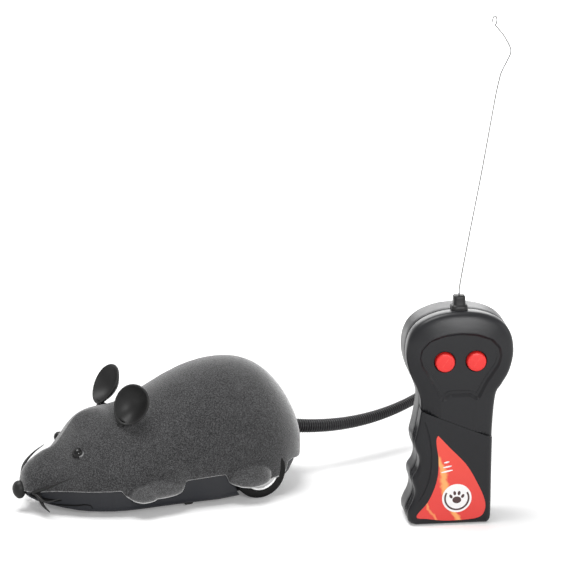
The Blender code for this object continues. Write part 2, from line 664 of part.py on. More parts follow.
def make_body_shell(looks, mouse):
    """The flocked upper shell with its four feet."""
    flock = looks["flock"]
    shell = body_form("body_shell", 0.0, flock, mouse)
    for side, word in ((-1, "left"), (1, "right")):
        for number, shares in enumerate(FRONT_FOOT_SHARES):
            join(shell, foot(f"front_foot_{word}_{number}", shares, side, flock, mouse))
        for number, shares in enumerate(REAR_FOOT_SHARES):
            join(shell, foot(f"rear_foot_{word}_{number}", shares, side, flock, mouse))
    cut(shell, shell_trim(flock, mouse))
    cut(shell, body_form("shell_hollow", SHELL_WALL, flock, mouse))
    room = chassis_form("chassis_room", -GAP, -OVERRUN, GAP / 2, flock, mouse)
    cut(shell, room)
    room_out = WHEEL_OUT + WHEEL_SIDE_ROOM
    for side, word in ((-1, "left"), (1, "right")):
        ends = sorted((side * WELL_IN, side * BODY_HALF_WIDTH * 2))
        plug = rod(f"well_plug_{word}", *ends, WELL_RADIUS - GAP, flock, mouse, (AXLE_X, 0, AXLE_Z), sides=36)
        cut(room, plug)
        cut(shell, wheel_well(f"shell_well_{word}", side, WHEEL_IN / 2, room_out, flock, mouse))
    hole = TAIL_RADIUS + RUN_GAP
    cut(shell, rod("tail_hole", -SHELL_WALL - OVERRUN, OVERRUN, hole, flock, mouse, tail_root(), "X"))
    cut(shell, nose_form("nose_room_above", GAP, flock, mouse))
    for side, word in ((-1, "left"), (1, "right")):
        cut(shell, eye_form(f"eye_room_{word}", side, GAP, flock, mouse))
        cut(shell, ear_stem(f"ear_hole_{word}", side, GAP, flock, mouse))
        cut(shell, whisker_form(f"whisker_room_above_{word}", side, GAP, flock, mouse))
    return shell


def make_chassis(looks, mouse):
    """The tray with jaw, battery box, caster cup, posts and motor cradle."""
    grey = looks["chassis"]
    tray = chassis_form("chassis", 0.0, 0.0, 0.0, grey, mouse)
    hollow = chassis_form("tray_hollow", CHASSIS_WALL, CHASSIS_WALL, OVERRUN, grey, mouse)
    wall_in = WELL_IN - WELL_WALL
    span = WELL_RADIUS + WELL_WALL
    tall = BODY_HEIGHT
    for side, word in ((-1, "left"), (1, "right")):
        near, far = sorted((side * wall_in, side * 2 * BODY_HALF_WIDTH))
        block = box(f"well_block_{word}", (AXLE_X - span, near, -OVERRUN), (AXLE_X + span, far, tall), grey, mouse)
        cut(hollow, block)
    cut(tray, hollow)
    for side, word in ((-1, "left"), (1, "right")):
        cut(tray, wheel_well(f"well_{word}", side, WELL_IN, 2 * BODY_HALF_WIDTH, grey, mouse))
        near, far = sorted((side * wall_in, side * WELL_IN))
        low = (AXLE_X - POST_HALF_LENGTH, near, FLOOR_TOP + SINK)
        join(tray, box(f"axle_post_{word}", low, (AXLE_X + POST_HALF_LENGTH, far, AXLE_Z + POST_RISE), grey, mouse))
    hole = AXLE_RADIUS + RUN_GAP
    cut(tray, rod("axle_hole", -WELL_IN - OVERRUN, WELL_IN + OVERRUN, hole, grey, mouse, (AXLE_X, 0, AXLE_Z)))
    add_motor_cradle(tray, grey, mouse)
    add_battery_box(tray, grey, mouse)
    add_caster_cup(tray, grey, mouse)
    add_switch_slot(tray, grey, mouse)
    cut(tray, nose_form("nose_room_below", GAP, grey, mouse))
    for side, word in ((-1, "left"), (1, "right")):
        cut(tray, whisker_form(f"whisker_room_below_{word}", side, GAP, grey, mouse))
    return tray


def add_motor_cradle(tray, grey, mouse):
    """Two ribs that carry the motor."""
    top = MOTOR_Z - MOTOR_RADIUS - GAP
    half = MOTOR_HALF_FLAT * 0.7
    for number, share in enumerate((0.25, 0.78)):
        middle = FRAME_OFFSET - share * MOTOR_LENGTH
        low = (MOTOR_X - half, middle - CRADLE_THICKNESS / 2, FLOOR_TOP - SINK)
        high = (MOTOR_X + half, middle + CRADLE_THICKNESS / 2, top)
        join(tray, box(f"cradle_{number}", low, high, grey, mouse))


def add_battery_box(tray, grey, mouse):
    """The cells' box, open below, with the door's pin holes and standoffs."""
    out = BAY_HALF_WIDTH + BOX_WALL
    low = (BOX_OUT_FRONT, -out, BELLY + CHASSIS_WALL / 2)
    join(tray, box("battery_box", low, (BOX_OUT_REAR, out, BOX_ROOF), grey, mouse))
    for number, place in enumerate(board_posts()):
        post = rod(f"board_post_{number}", BOX_ROOF - SINK, BOX_ROOF + STANDOFF_HEIGHT - GAP,
                   STANDOFF_RADIUS, grey, mouse, (*place, 0), "Z", 12)
        join(tray, post)
    low = (BAY_FRONT, -BAY_HALF_WIDTH, -OVERRUN)
    cut(tray, box("battery_bay", low, (BAY_REAR, BAY_HALF_WIDTH, BAY_ROOF), grey, mouse))
    pin = DOOR_PIN_RADIUS + GAP
    reach = BAY_HALF_WIDTH + DOOR_PIN_REACH
    cut(tray, rod("door_pin_hole", -reach, reach, pin, grey, mouse, door_hinge(), sides=12))


def board_posts():
    """Places of the four posts under the mouse's board."""
    middle = (BAY_FRONT + BAY_REAR) / 2
    across, along = BOARD_WIDTH * 0.4, BOARD_LENGTH * 0.42
    return [(middle + side * along, other * across) for side in (-1, 1) for other in (-1, 1)]


def door_hinge():
    """Middle of the battery door's hinge line, at its rear edge."""
    return (BAY_REAR - GAP - HINGE_RISE, 0.0, BELLY + HINGE_RISE)


def add_caster_cup(tray, grey, mouse):
    """The round cup in which the caster's turret turns."""
    place = (CASTER_X, 0, 0)
    wall = CUP_RADIUS + CUP_WALL
    join(tray, rod("caster_cup", BELLY + SINK, CUP_TOP, wall, grey, mouse, place, "Z", 32))
    cut(tray, rod("cup_hollow", -OVERRUN, CUP_ROOF, CUP_RADIUS, grey, mouse, place, "Z", 32))
    hole = PIVOT_RADIUS + RUN_GAP
    cut(tray, rod("pivot_hole", CUP_ROOF - OVERRUN, CUP_TOP + OVERRUN, hole, grey, mouse, place, "Z", 16))


def switch_middle():
    """Place of the power switch in the strip beside the battery box."""
    inner = BAY_HALF_WIDTH + BOX_WALL
    return (body_x(0.5) + SWITCH_BEHIND, -(inner + SWITCH_MARGIN + SWITCH_WIDTH / 2))


def add_switch_slot(tray, grey, mouse):
    """The slot in the belly in which the switch knob slides."""
    x, y = switch_middle()
    half = (SWITCH_LENGTH + SWITCH_TRAVEL) / 2 + RUN_GAP
    side = SWITCH_WIDTH / 2 + RUN_GAP
    low, high = (x - half, y - side, -OVERRUN), (x + half, y + side, FLOOR_TOP + SINK)
    cut(tray, box("switch_slot", low, high, grey, mouse))


def make_power_switch(looks, mouse):
    """Switch body above the floor and the knob that slides in it."""
    x, y = switch_middle()
    floor = FLOOR_TOP + GAP
    groove_top = floor + SWITCH_BODY_HEIGHT / 2
    half = (SWITCH_LENGTH + SWITCH_TRAVEL) / 2 + RUN_GAP
    wall = SWITCH_MARGIN - GAP
    side = SWITCH_WIDTH / 2 + RUN_GAP
    low = (x - half - SWITCH_MARGIN, y - side - wall / 2, floor)
    high = (x + half + SWITCH_MARGIN, y + side + wall / 2, floor + SWITCH_BODY_HEIGHT)
    body = box("power_switch", low, high, looks["steel"], mouse)
    low, high = (x - half, y - side, -OVERRUN), (x + half, y + side, groove_top)
    cut(body, box("switch_groove", low, high, looks["steel"], mouse))
    wall = CHASSIS_WALL + GAP
    boolean(body, chassis_form("switch_limit", wall, wall, 0.0, looks["steel"], mouse), "INTERSECT")
    start = x - SWITCH_TRAVEL / 2
    width, length = SWITCH_WIDTH / 2, SWITCH_LENGTH / 2
    bottom, top = BELLY - SWITCH_DEPTH, groove_top - RUN_GAP
    waist = BELLY - GAP
    rings = []
    for z, spread in ((bottom, 0.7), (waist, 1.0), (top, 1.0)):
        a, b = length * spread, width
        rings.append([(-a, -b, z), (a, -b, z), (a, b, z), (-a, b, z)])
    solid("switch_knob", rings, looks["rubber"], mouse, (start, y, 0))


def make_door(looks, mouse):
    """Battery door in the belly, hung on two pins at its rear edge."""
    grey = looks["chassis"]
    hinge = door_hinge()
    half = BAY_HALF_WIDTH - GAP
    outline = door_outline(hinge[0] - BAY_FRONT - GAP)
    rings = [[(-along, y, out - HINGE_RISE) for along, out in outline] for y in (-half, half)]
    door = solid("battery_door", rings, grey, mouse, hinge)
    add_door_pins(door, "door_pin", half, "Y", grey, mouse, hinge)


def add_door_pins(door, name, half, axis, material, parent, hinge):
    """A short round pin at both ends of a door's hinge line."""
    for number, side in enumerate((-1, 1), 1):
        start, end = sorted((side * (half - DOOR_PIN_REACH), side * (half + DOOR_PIN_REACH)))
        join(door, rod(f"{name}_{number}", start, end, DOOR_PIN_RADIUS, material, parent, hinge, axis, 10))


def door_outline(length):
    """Side outline of a door: (along from its hinge line, in from its face).

    The hinged edge is round about the hinge line, so it clears its wall, and
    slopes back inside, so that it clears the cells as it swings.
    """
    outline = [(length, 0), (0, 0)]
    for step in range(1, 4):
        angle = DOOR_EDGE_TURN * step / 3
        outline.append((-HINGE_RISE * sin(angle), HINGE_RISE * (1 - cos(angle))))
    return outline + [(0, DOOR_THICKNESS), (length, DOOR_THICKNESS)]


def cell(name, place, axis, looks, parent):
    """One cell with its nipple; axis is the direction of the nipple."""
    length = CELL_LENGTH - CELL_NIPPLE
    profile = [(0, CELL_RADIUS), (length, CELL_RADIUS),
               (length, CELL_NIPPLE_RADIUS), (CELL_LENGTH, CELL_NIPPLE_RADIUS)]
    if axis[0] == "-":
        profile = [(-along, radius) for along, radius in reversed(profile)]
    return turned(name, profile, looks["cell"], parent, place, axis[-1], 20)


def contact_spring(name, place, axis, looks, parent):
    """A coil of round wire between a cell and its box; prints its least gap."""
    lead = 2 * SPRING_WIRE
    rise = SPRING_LENGTH - 2 * GAP - 2 * SPRING_WIRE
    steps = SPRING_TURNS * SPRING_STEPS
    path = []
    for step in range(steps + 1):
        turn = 2 * pi * step / SPRING_STEPS
        reach = SPRING_RADIUS * (1 - 0.35 * step / steps)
        path.append((reach * cos(turn), reach * sin(turn), SPRING_WIRE + rise * step / steps))
    turn_rise = rise / SPRING_TURNS
    shrink = SPRING_RADIUS * 0.35 / SPRING_TURNS
    print(name, "least gap to itself", round((sqrt(turn_rise ** 2 + shrink ** 2) - 2 * SPRING_WIRE) * 1e3, 3), "mm")
    if axis == "X":
        path = [(z, x, y) for x, y, z in path]
    if axis == "-X":
        path = [(-z, y, x) for x, y, z in path]
    if axis == "-Z":
        path = [(y, x, -z) for x, y, z in path]
    points = [Vector(point) for point in path]
    start = points[0] + (points[0] - points[1]).normalized() * lead
    return swept(name, [start, *points], [SPRING_WIRE] * (len(points) + 1), 6, looks["steel"], parent, place)


def make_cells(looks, mouse):
    """Three cells side by side with a spring at the flat end of each."""
    row = [(number - (MOUSE_CELLS - 1) / 2) * CELL_PITCH for number in range(MOUSE_CELLS)]
    for number, y in enumerate(row, 1):
        if number % 2:
            place = (BAY_FRONT + SPRING_LENGTH + CELL_GAP, y, CELL_Z)
            cell(f"mouse_cell_{number}", place, "X", looks, mouse)
            contact_spring(f"mouse_spring_{number}", (BAY_FRONT + GAP, y, CELL_Z), "X", looks, mouse)
        else:
            place = (BAY_REAR - SPRING_LENGTH - CELL_GAP, y, CELL_Z)
            cell(f"mouse_cell_{number}", place, "-X", looks, mouse)
            contact_spring(f"mouse_spring_{number}", (BAY_REAR - GAP, y, CELL_Z), "-X", looks, mouse)


def make_receiver(looks, mouse):
    """Receiver board with its chip, on four posts over the battery box."""
    middle = (BAY_FRONT + BAY_REAR) / 2
    low = (middle - BOARD_LENGTH / 2, -BOARD_WIDTH / 2, BOX_ROOF + STANDOFF_HEIGHT)
    high = (middle + BOARD_LENGTH / 2, BOARD_WIDTH / 2, BOX_ROOF + STANDOFF_HEIGHT + BOARD_THICKNESS)
    board = box("receiver_board", low, high, looks["board"], mouse)
    low = (middle - CHIP_LENGTH / 2, -CHIP_WIDTH / 2, high[2] - SINK / 2)
    high = (middle + CHIP_LENGTH / 2, CHIP_WIDTH / 2, high[2] + CHIP_HEIGHT)
    return join(board, box("receiver_chip", low, high, looks["board"], mouse))


def swept(name, path, radii, sides, material, parent=None, place=(0, 0, 0), flat=1.0):
    """A closed tube along a path with a radius at each point.

    The frame is carried along without twist; flat squeezes it upright.
    """
    path = [Vector(point) for point in path]
    ways = [(after - before).normalized() for before, after in
            zip([path[0], *path[:-1]], [*path[1:], path[-1]])]
    across = ways[0].orthogonal().normalized()
    if abs(ways[0].z) < 0.9:
        across = ways[0].cross(Vector((0, 0, 1))).normalized()
    rings = []
    for point, way, radius in zip(path, ways, radii):
        across = (across - way * across.dot(way)).normalized()
        upright = across.cross(way)
        ring = []
        for side in range(sides):
            angle = 2 * pi * (side + 0.5) / sides
            reach = across * cos(angle) + upright * sin(angle) * flat
            ring.append(point + reach * radius)
        rings.append(ring)
    return solid(name, rings, material, parent, place)


def gear_outline(teeth, turn):
    """Tooth corners of a spur gear, turned by an angle.

    Each tooth is a trapezoid: wide at its root, slim at its tip.
    """
    pitch_radius = GEAR_MODULE * teeth / 2
    root, tip = pitch_radius - 1.15 * GEAR_MODULE, pitch_radius + 0.8 * GEAR_MODULE
    step = 2 * pi / teeth
    corners = []
    for tooth in range(teeth):
        middle = tooth * step + turn
        for radius, half_share in ((root, -0.27), (tip, -0.10), (tip, 0.10), (root, 0.27)):
            angle = middle + half_share * step
            corners.append((radius * cos(angle), radius * sin(angle)))
    return corners


def gear(name, teeth, start, width, bore, turn, material, parent, place):
    """A spur gear about Y with a bore: one bore side to each tooth."""
    outline = gear_outline(teeth, turn)
    step = 2 * pi / teeth
    points, faces = [], []
    for y in (start, start + width):
        points += [(x, y, z) for x, z in outline]
        points += [(bore * cos(turn + (side - 0.5) * step), y, bore * sin(turn + (side - 0.5) * step))
                   for side in range(teeth)]
    count = 4 * teeth
    layer = count + teeth
    for side in range(count):
        after = (side + 1) % count
        faces.append((side, after, layer + after, layer + side))
    for tooth in range(teeth):
        bore_a, bore_b = count + tooth, count + (tooth + 1) % teeth
        rim = [4 * tooth, 4 * tooth + 1, 4 * tooth + 2, 4 * tooth + 3, 4 * ((tooth + 1) % teeth)]
        bottom = (bore_a, *rim[:4], bore_b)
        gusset = (rim[3], rim[4], bore_b)
        faces += [bottom, gusset]
        faces += [tuple(index + layer for index in reversed(face)) for face in (bottom, gusset)]
        faces.append((bore_a, bore_b, layer + bore_b, layer + bore_a))
    points, faces = tidy(points, faces)
    return mesh_object(name, points, faces, material, parent, place)


def make_rear_axle(looks, mouse):
    """Axle, two hubs, two tyres and the axle gear: one turning body."""
    place = (AXLE_X, 0, AXLE_Z)
    end = WHEEL_OUT - HUB_DISH - GAP
    rod("rear_axle", -end, end, AXLE_RADIUS, looks["steel"], mouse, place, sides=16)
    inner = TYRE_RADIUS - TYRE_WALL
    rim = inner - GAP
    bore = AXLE_RADIUS + GAP
    for side, word in ((-1, "left"), (1, "right")):
        profile = [(WHEEL_IN, bore), (WHEEL_IN, rim), (WHEEL_OUT, rim),
                   (WHEEL_OUT - HUB_DISH * 0.3, rim - HUB_DISH), (WHEEL_OUT - HUB_DISH, rim - 2 * HUB_DISH),
                   (WHEEL_OUT - HUB_DISH, HUB_BOSS_RADIUS), (WHEEL_OUT - HUB_DISH * 0.2, HUB_BOSS_RADIUS * 0.8),
                   (WHEEL_OUT - HUB_DISH * 0.2, bore)]
        profile = [(side * along, radius) for along, radius in profile]
        turned(f"wheel_hub_{word}", profile, looks["chrome"], mouse, place, sides=28, closed=True)
        tread = tyre_profile(inner)
        profile = [(side * along, radius) for along, radius in tread]
        turned(f"tyre_{word}", profile, looks["rubber"], mouse, place, sides=32, closed=True)
    start = GEAR_IN
    gear("axle_gear", WHEEL_TEETH, start, GEAR_WIDTH, bore, axle_gear_turn(), looks["gear"], mouse, place)


def tyre_profile(inner):
    """Section of a tyre: rounded shoulders and raised ridges round it."""
    low = TYRE_RADIUS - TREAD_DEPTH
    step = TYRE_WIDTH / (2 * TREAD_RIDGES + 1)
    profile = [(WHEEL_IN, inner), (WHEEL_IN, low - TREAD_DEPTH)]
    for ridge in range(TREAD_RIDGES):
        start = WHEEL_IN + step * (2 * ridge + 1)
        profile += [(start - step * 0.2, low), (start, TYRE_RADIUS), (start + step, TYRE_RADIUS),
                    (start + step * 1.2, low)]
    return profile + [(WHEEL_OUT, low - TREAD_DEPTH), (WHEEL_OUT, inner)]


def axle_gear_turn():
    """A tooth of the axle gear points at the idler's middle."""
    return atan2(IDLER_Z - AXLE_Z, IDLER_X - AXLE_X)


def make_idler(looks, mouse):
    """Idler: a big gear and a small pinion in one moulding, on a fixed pin."""
    place = (IDLER_X, 0, IDLER_Z)
    bore = IDLER_PIN_RADIUS + GAP
    small_turn = axle_gear_turn() + pi + pi / PINION_TEETH
    small = gear("idler_gear", PINION_TEETH, GEAR_IN, PINION_WIDTH + GEAR_STAGGER + SINK / 2, bore,
                 small_turn, looks["gear"], mouse, place)
    to_motor = atan2(MOTOR_Z - IDLER_Z, MOTOR_X - IDLER_X)
    big = gear("idler_wheel", WHEEL_TEETH, BIG_GEAR_Y, GEAR_WIDTH, bore, to_motor, looks["gear"], mouse, place)
    join(small, big)
    out = GEARS_OUT + RUN_GAP + FRAME_PLATE + GAP
    rod("idler_pin", FRAME_OFFSET - GAP / 2, out, IDLER_PIN_RADIUS, looks["steel"], mouse, place, sides=14)


def make_motor(looks, mouse):
    """Flat-sided motor can, with the pinion and its shaft as the moving piece."""
    place = (MOTOR_X, 0, MOTOR_Z)
    face = FRAME_OFFSET - GAP
    flat = asin(MOTOR_HALF_FLAT / MOTOR_RADIUS)
    top = [pi / 2 - flat + 2 * flat * step / 8 for step in range(9)]
    outline = [(MOTOR_RADIUS * cos(angle), MOTOR_RADIUS * sin(angle)) for angle in top]
    outline += [(-x, -z) for x, z in outline]
    rings = [[(x, y, z) for x, z in outline] for y in (face - MOTOR_LENGTH, face)]
    motor = solid("drive_motor", rings, looks["steel"], mouse, place)
    join(motor, rod("motor_boss", face - SINK, face + MOTOR_BOSS_LENGTH, MOTOR_BOSS_RADIUS,
                    looks["steel"], mouse, place, sides=16))
    depth = face - 2 * MOTOR_BOSS_LENGTH
    hole = MOTOR_SHAFT_RADIUS + RUN_GAP
    cut(motor, rod("shaft_hole", depth, face + MOTOR_BOSS_LENGTH + OVERRUN, hole,
                   looks["steel"], mouse, place, sides=12))
    turn = atan2(IDLER_Z - MOTOR_Z, IDLER_X - MOTOR_X) + pi / PINION_TEETH
    pinion = gear("motor_pinion", PINION_TEETH, BIG_GEAR_Y, GEAR_WIDTH, MOTOR_SHAFT_RADIUS * 0.6, turn,
                  looks["gear"], mouse, place)
    join(pinion, rod("motor_shaft", depth + GAP, BIG_GEAR_Y + GEAR_WIDTH - GAP, MOTOR_SHAFT_RADIUS,
                     looks["steel"], mouse, place, sides=12))


def make_gear_frame(looks, mouse):
    """Two plates with bearing holes and a foot between them."""
    low = BELLY + value_at(BELLY_RISE_SHARES, AXLE_SHARE + 0.035) * BODY_HEIGHT + CHASSIS_WALL + GAP
    front, rear = MOTOR_X - MOTOR_BOSS_RADIUS - FRAME_RIM, AXLE_X + AXLE_RADIUS + FRAME_RIM
    top = MOTOR_Z + MOTOR_BOSS_RADIUS + FRAME_RIM
    corner = IDLER_Z - AXLE_Z
    outline = [(front, low), (rear, low), (rear, top - corner), (rear - corner / 2, top), (front, top)]
    outer = GEARS_OUT + RUN_GAP
    plate = looks["gear"]
    rings = [[(x, y, z) for x, z in outline] for y in (FRAME_OFFSET, FRAME_OFFSET + FRAME_PLATE)]
    frame = solid("gear_frame", rings, plate, mouse)
    rings = [[(x, y, z) for x, z in outline] for y in (outer, outer + FRAME_PLATE)]
    join(frame, solid("outer_plate", rings, plate, mouse))
    web_low = (front, FRAME_OFFSET + FRAME_PLATE / 2, low)
    web_high = (MOTOR_X + SINK, outer + FRAME_PLATE / 2, low + FRAME_PLATE)
    join(frame, box("frame_foot", web_low, web_high, plate, mouse))
    start, end = FRAME_OFFSET - OVERRUN, outer + FRAME_PLATE + OVERRUN
    holes = (("axle", (AXLE_X, 0, AXLE_Z), AXLE_RADIUS + RUN_GAP, end),
             ("idler", (IDLER_X, 0, IDLER_Z), IDLER_PIN_RADIUS + GAP, end),
             ("boss", (MOTOR_X, 0, MOTOR_Z), MOTOR_BOSS_RADIUS + GAP, FRAME_OFFSET + 2 * FRAME_PLATE))
    for word, place, radius, finish_at in holes:
        cut(frame, rod(f"{word}_bearing", start, finish_at, radius, plate, mouse, place, sides=16))
    return frame


def make_caster(looks, mouse):
    """Turret on its pivot, and the small wheel that trails in its slot."""
    place = (CASTER_X, 0, 0)
    grey = looks["chassis"]
    turret = rod("caster_turret", TURRET_LOW, TURRET_TOP, TURRET_RADIUS, grey, mouse, place, "Z", 28)
    pivot_top = CUP_TOP + PIVOT_LENGTH / 2
    join(turret, rod("caster_pivot", TURRET_TOP - SINK / 2, pivot_top, PIVOT_RADIUS, grey, mouse, place, "Z", 14))
    half_width = CASTER_WHEEL_WIDTH / 2 + RUN_GAP
    reach = CASTER_WHEEL_RADIUS + RUN_GAP
    wheel_x = CASTER_X + CASTER_TRAIL
    slot = box("wheel_slot", (wheel_x - reach, -half_width, -OVERRUN), (wheel_x + reach, half_width, SLOT_ROOF),
               grey, mouse)
    cut(turret, slot)
    hub = (wheel_x, 0, CASTER_WHEEL_RADIUS)
    pin_half = half_width + 0.5 * (TURRET_RADIUS - half_width)
    hole = CASTER_PIN_RADIUS + GAP
    cut(turret, rod("pin_hole", -TURRET_RADIUS, TURRET_RADIUS, hole, grey, mouse, hub, sides=10))
    rod("caster_pin", -pin_half, pin_half, CASTER_PIN_RADIUS, looks["steel"], mouse, hub, sides=10)
    edge = CASTER_WHEEL_RADIUS * 0.12
    side = CASTER_WHEEL_WIDTH / 2
    profile = [(-side, hole), (-side, CASTER_WHEEL_RADIUS - edge), (edge - side, CASTER_WHEEL_RADIUS),
               (side - edge, CASTER_WHEEL_RADIUS), (side, CASTER_WHEEL_RADIUS - edge), (side, hole)]
    turned("caster_wheel", profile, looks["rubber"], mouse, hub, sides=28, closed=True)


def nose_middle():
    """Middle of the nose ball, just ahead of the shell and the jaw."""
    return (-NOSE_REACH - SINK / 2, 0.0, NOSE_HEIGHT_SHARE * BODY_HEIGHT)


def nose_form(name, gap, material, mouse):
    """The nose ball with the stem that holds it between shell and jaw."""
    middle = nose_middle()
    radii = (NOSE_BALL_LENGTH / 2 + gap, NOSE_BALL_WIDTH / 2 + gap, NOSE_BALL_HEIGHT / 2 + gap)
    nose = ellipsoid(name, middle, radii, material, mouse, rings=8, sides=16)
    stem = rod(f"{name}_stem", 0, NOSE_BALL_LENGTH / 2 + NOSE_STEM_LENGTH + gap, NOSE_STEM_RADIUS + gap,
               material, mouse, middle, "X", 12)
    return join(nose, stem)


def eye_frame(side):
    """Middle of one eye and the way it looks, outward and a little forward."""
    along, out, height = EYE_SHARES
    middle = Vector((body_x(along), side * out * BODY_HALF_WIDTH, height * BODY_HEIGHT))
    way = Vector((-0.38, side * 0.80, 0.46)).normalized()
    return middle, way


def eye_form(name, side, gap, material, mouse):
    """A bead with a stem that reaches into the shell."""
    middle, way = eye_frame(side)
    eye = ellipsoid(name, (0, 0, 0), [EYE_RADIUS + gap] * 3, material, mouse, rings=6, sides=12)
    stem = rod(f"{name}_stem", 0, -EYE_RADIUS - EYE_STEM_LENGTH - gap, EYE_STEM_RADIUS + gap,
               material, mouse, axis="X", sides=10)
    for thing in (eye, stem):
        thing.location = middle
        thing.rotation_euler = way.to_track_quat("X", "Z").to_euler()
    return join(eye, stem)


def ear_frame(side):
    """Foot of one ear and its axes: across, up the ear and its front."""
    along, out, height = EAR_SHARES
    foot_place = Vector((body_x(along), side * out * BODY_HALF_WIDTH, height * BODY_HEIGHT))
    outward = EAR_TURN_LEFT if side < 0 else EAR_TURN_RIGHT
    turn = Matrix.Rotation(-side * outward, 3, "Z")
    lean = Matrix.Rotation(EAR_LEAN, 3, "Y")
    splay = Matrix.Rotation(-side * EAR_SPLAY, 3, "X")
    return foot_place, splay @ lean @ turn


def ear_point(side, across, up, front):
    """A point of the ear in the mouse's frame."""
    place, frame = ear_frame(side)
    return place + frame @ Vector((-front, side * across, up))


def ear_stem(name, side, gap, material, mouse):
    """The peg under an ear, which goes through the shell."""
    path = [ear_point(side, 0, height, 0) for height in (-EAR_STEM_LENGTH - gap, EAR_WALL + SINK)]
    return swept(name, path, [EAR_STEM_RADIUS + gap] * 2, 10, material, mouse)


def make_ear(side, word, looks, mouse):
    """A cupped ear: two egg-shaped dishes, one wall apart, and a peg."""
    black = looks["rubber"]
    depth = EAR_CUP_SHARE * EAR_HEIGHT

    def ring(share, behind):
        points = []
        for step in range(EAR_SIDES):
            angle = 2 * pi * step / EAR_SIDES
            narrow = 1 - 0.16 * (1 - sin(angle)) / 2
            across = EAR_WIDTH / 2 * share * narrow * cos(angle)
            up = EAR_HEIGHT / 2 * (1 + share * sin(angle)) + GAP
            front = depth * (share ** 2 - 0.5) - behind
            points.append(ear_point(side, across, up, front))
        return points

    shares = [(step + 1) / EAR_RINGS for step in range(EAR_RINGS)]
    rings = [ring(0.02, 0)] + [ring(share, 0) for share in shares]
    rings += [ring(share, EAR_WALL) for share in reversed(shares)] + [ring(0.02, EAR_WALL)]
    ear = solid(f"ear_{word}", rings, black, mouse)
    cut(ear, body_form(f"ear_seat_{word}", -GAP, black, mouse))
    return join(ear, ear_stem(f"ear_peg_{word}", side, 0.0, black, mouse))


def whisker_tab(name, side, gap, material, mouse):
    """The flat root of one side's whiskers, held between shell and jaw."""
    x, z = body_x(0.040), NOSE_HEIGHT_SHARE * BODY_HEIGHT
    outer = 0.250 * BODY_HALF_WIDTH
    near, far = sorted((side * (outer - WHISKER_TAB_WIDTH - gap), side * (outer + gap)))
    half = WHISKER_TAB_LENGTH / 2 + gap
    thick = WHISKER_THICKNESS + gap
    return box(name, (x - half, near, z - thick), (x + half, far, z + thick), material, mouse)


def whisker_form(name, side, gap, material, mouse):
    """Three tapered whiskers on one root; with a gap, only the room they need."""
    root = whisker_tab(name, side, gap, material, mouse)
    for number, (*knots, width) in enumerate(WHISKER_SHARES):
        rows = [(body_x(x), side * y * BODY_HALF_WIDTH, z * BODY_HEIGHT) for x, y, z in knots]
        path = blend_rows(rows, WHISKER_STEPS)
        path = [path[0] - (path[1] - path[0]) * WHISKER_ROOT_SHARE, *path[1:]]
        last = len(path) - 1
        start = WHISKER_TAB_WIDTH * width / 2
        radii = [gap + start * (1 - WHISKER_TAPER * step / last) for step in range(last + 1)]
        if gap:
            path, radii = path[:WHISKER_STEPS + 1], radii[:WHISKER_STEPS + 1]
        join(root, swept(f"{name}_{number}", path, radii, 6, material, mouse, flat=WHISKER_FLATNESS))
    return root


def tail_root():
    """Where the tail leaves the rump."""
    return (BODY_LENGTH - NOSE_REACH, 0.0, TAIL_HEIGHT_SHARE * BODY_HEIGHT)


def tail_path(lengths):
    """Points of the tail's middle line at the given lengths from the rump.

    The line falls at TAIL_SAG_SHARE, bends up by TAIL_RISE_SHARE and sideways
    by TAIL_SWEEP_SHARE of the length squared.
    """
    root = np.array(tail_root())
    steps = 200
    share = (np.arange(steps) + 0.5) / steps
    slope = np.stack([np.ones(steps), 2 * TAIL_SWEEP_SHARE * share,
                      -TAIL_SAG_SHARE + 2 * TAIL_RISE_SHARE * share], 1)
    slope *= TAIL_LENGTH / steps / np.linalg.norm(slope, axis=1)[:, None]
    line = np.vstack([np.zeros(3), np.cumsum(slope, 0)])
    at = np.linspace(0, TAIL_LENGTH, steps + 1)
    points = [root + [np.interp(length, at, line[:, axis]) for axis in range(3)] for length in lengths if length >= 0]
    inside = [root + [length, 0, 0] for length in lengths if length < 0]
    return inside + points


def make_tail(looks, mouse):
    """Ribbed tail: a flange inside the rump, a neck, ribs and a round tip."""
    flange_start = -SHELL_WALL - TAIL_FLANGE - 2 * SINK
    flange_end = flange_start + TAIL_FLANGE
    bevel = TAIL_FLANGE * 0.2
    lengths = [flange_start, flange_start + bevel, flange_end - bevel, flange_end, SINK]
    neck = TAIL_RADIUS * (1 - TAIL_RIB_SHARE)
    radii = [TAIL_FLANGE_RADIUS - bevel, TAIL_FLANGE_RADIUS, TAIL_FLANGE_RADIUS, neck, neck]
    ribs = int((TAIL_LENGTH - TAIL_RIB_PITCH - 2 * SINK) / TAIL_RIB_PITCH)
    for rib in range(ribs):
        start = 2 * SINK + rib * TAIL_RIB_PITCH
        radius = TAIL_RADIUS + (TAIL_TIP_RADIUS - TAIL_RADIUS) * start / TAIL_LENGTH
        lengths += [start, start + TAIL_RIB_PITCH * 0.5]
        radii += [radius, radius * (1 - TAIL_RIB_SHARE)]
    lengths += [TAIL_LENGTH - TAIL_TIP_RADIUS * 0.4, TAIL_LENGTH]
    radii += [TAIL_TIP_RADIUS * 0.8, TAIL_TIP_RADIUS * 0.3]
    return swept("tail", tail_path(lengths), radii, TAIL_SIDES, looks["rubber"], mouse)


def remote_outline(inset):
    """The remote control's front outline, drawn in by inset, as (x, z)."""
    rows = [(x * REMOTE_HALF_WIDTH, z * REMOTE_HEIGHT) for x, z in REMOTE_OUTLINE_SHARES]
    points = blend_rows(rows, OUTLINE_STEPS)
    return drawn_in(points, inset)


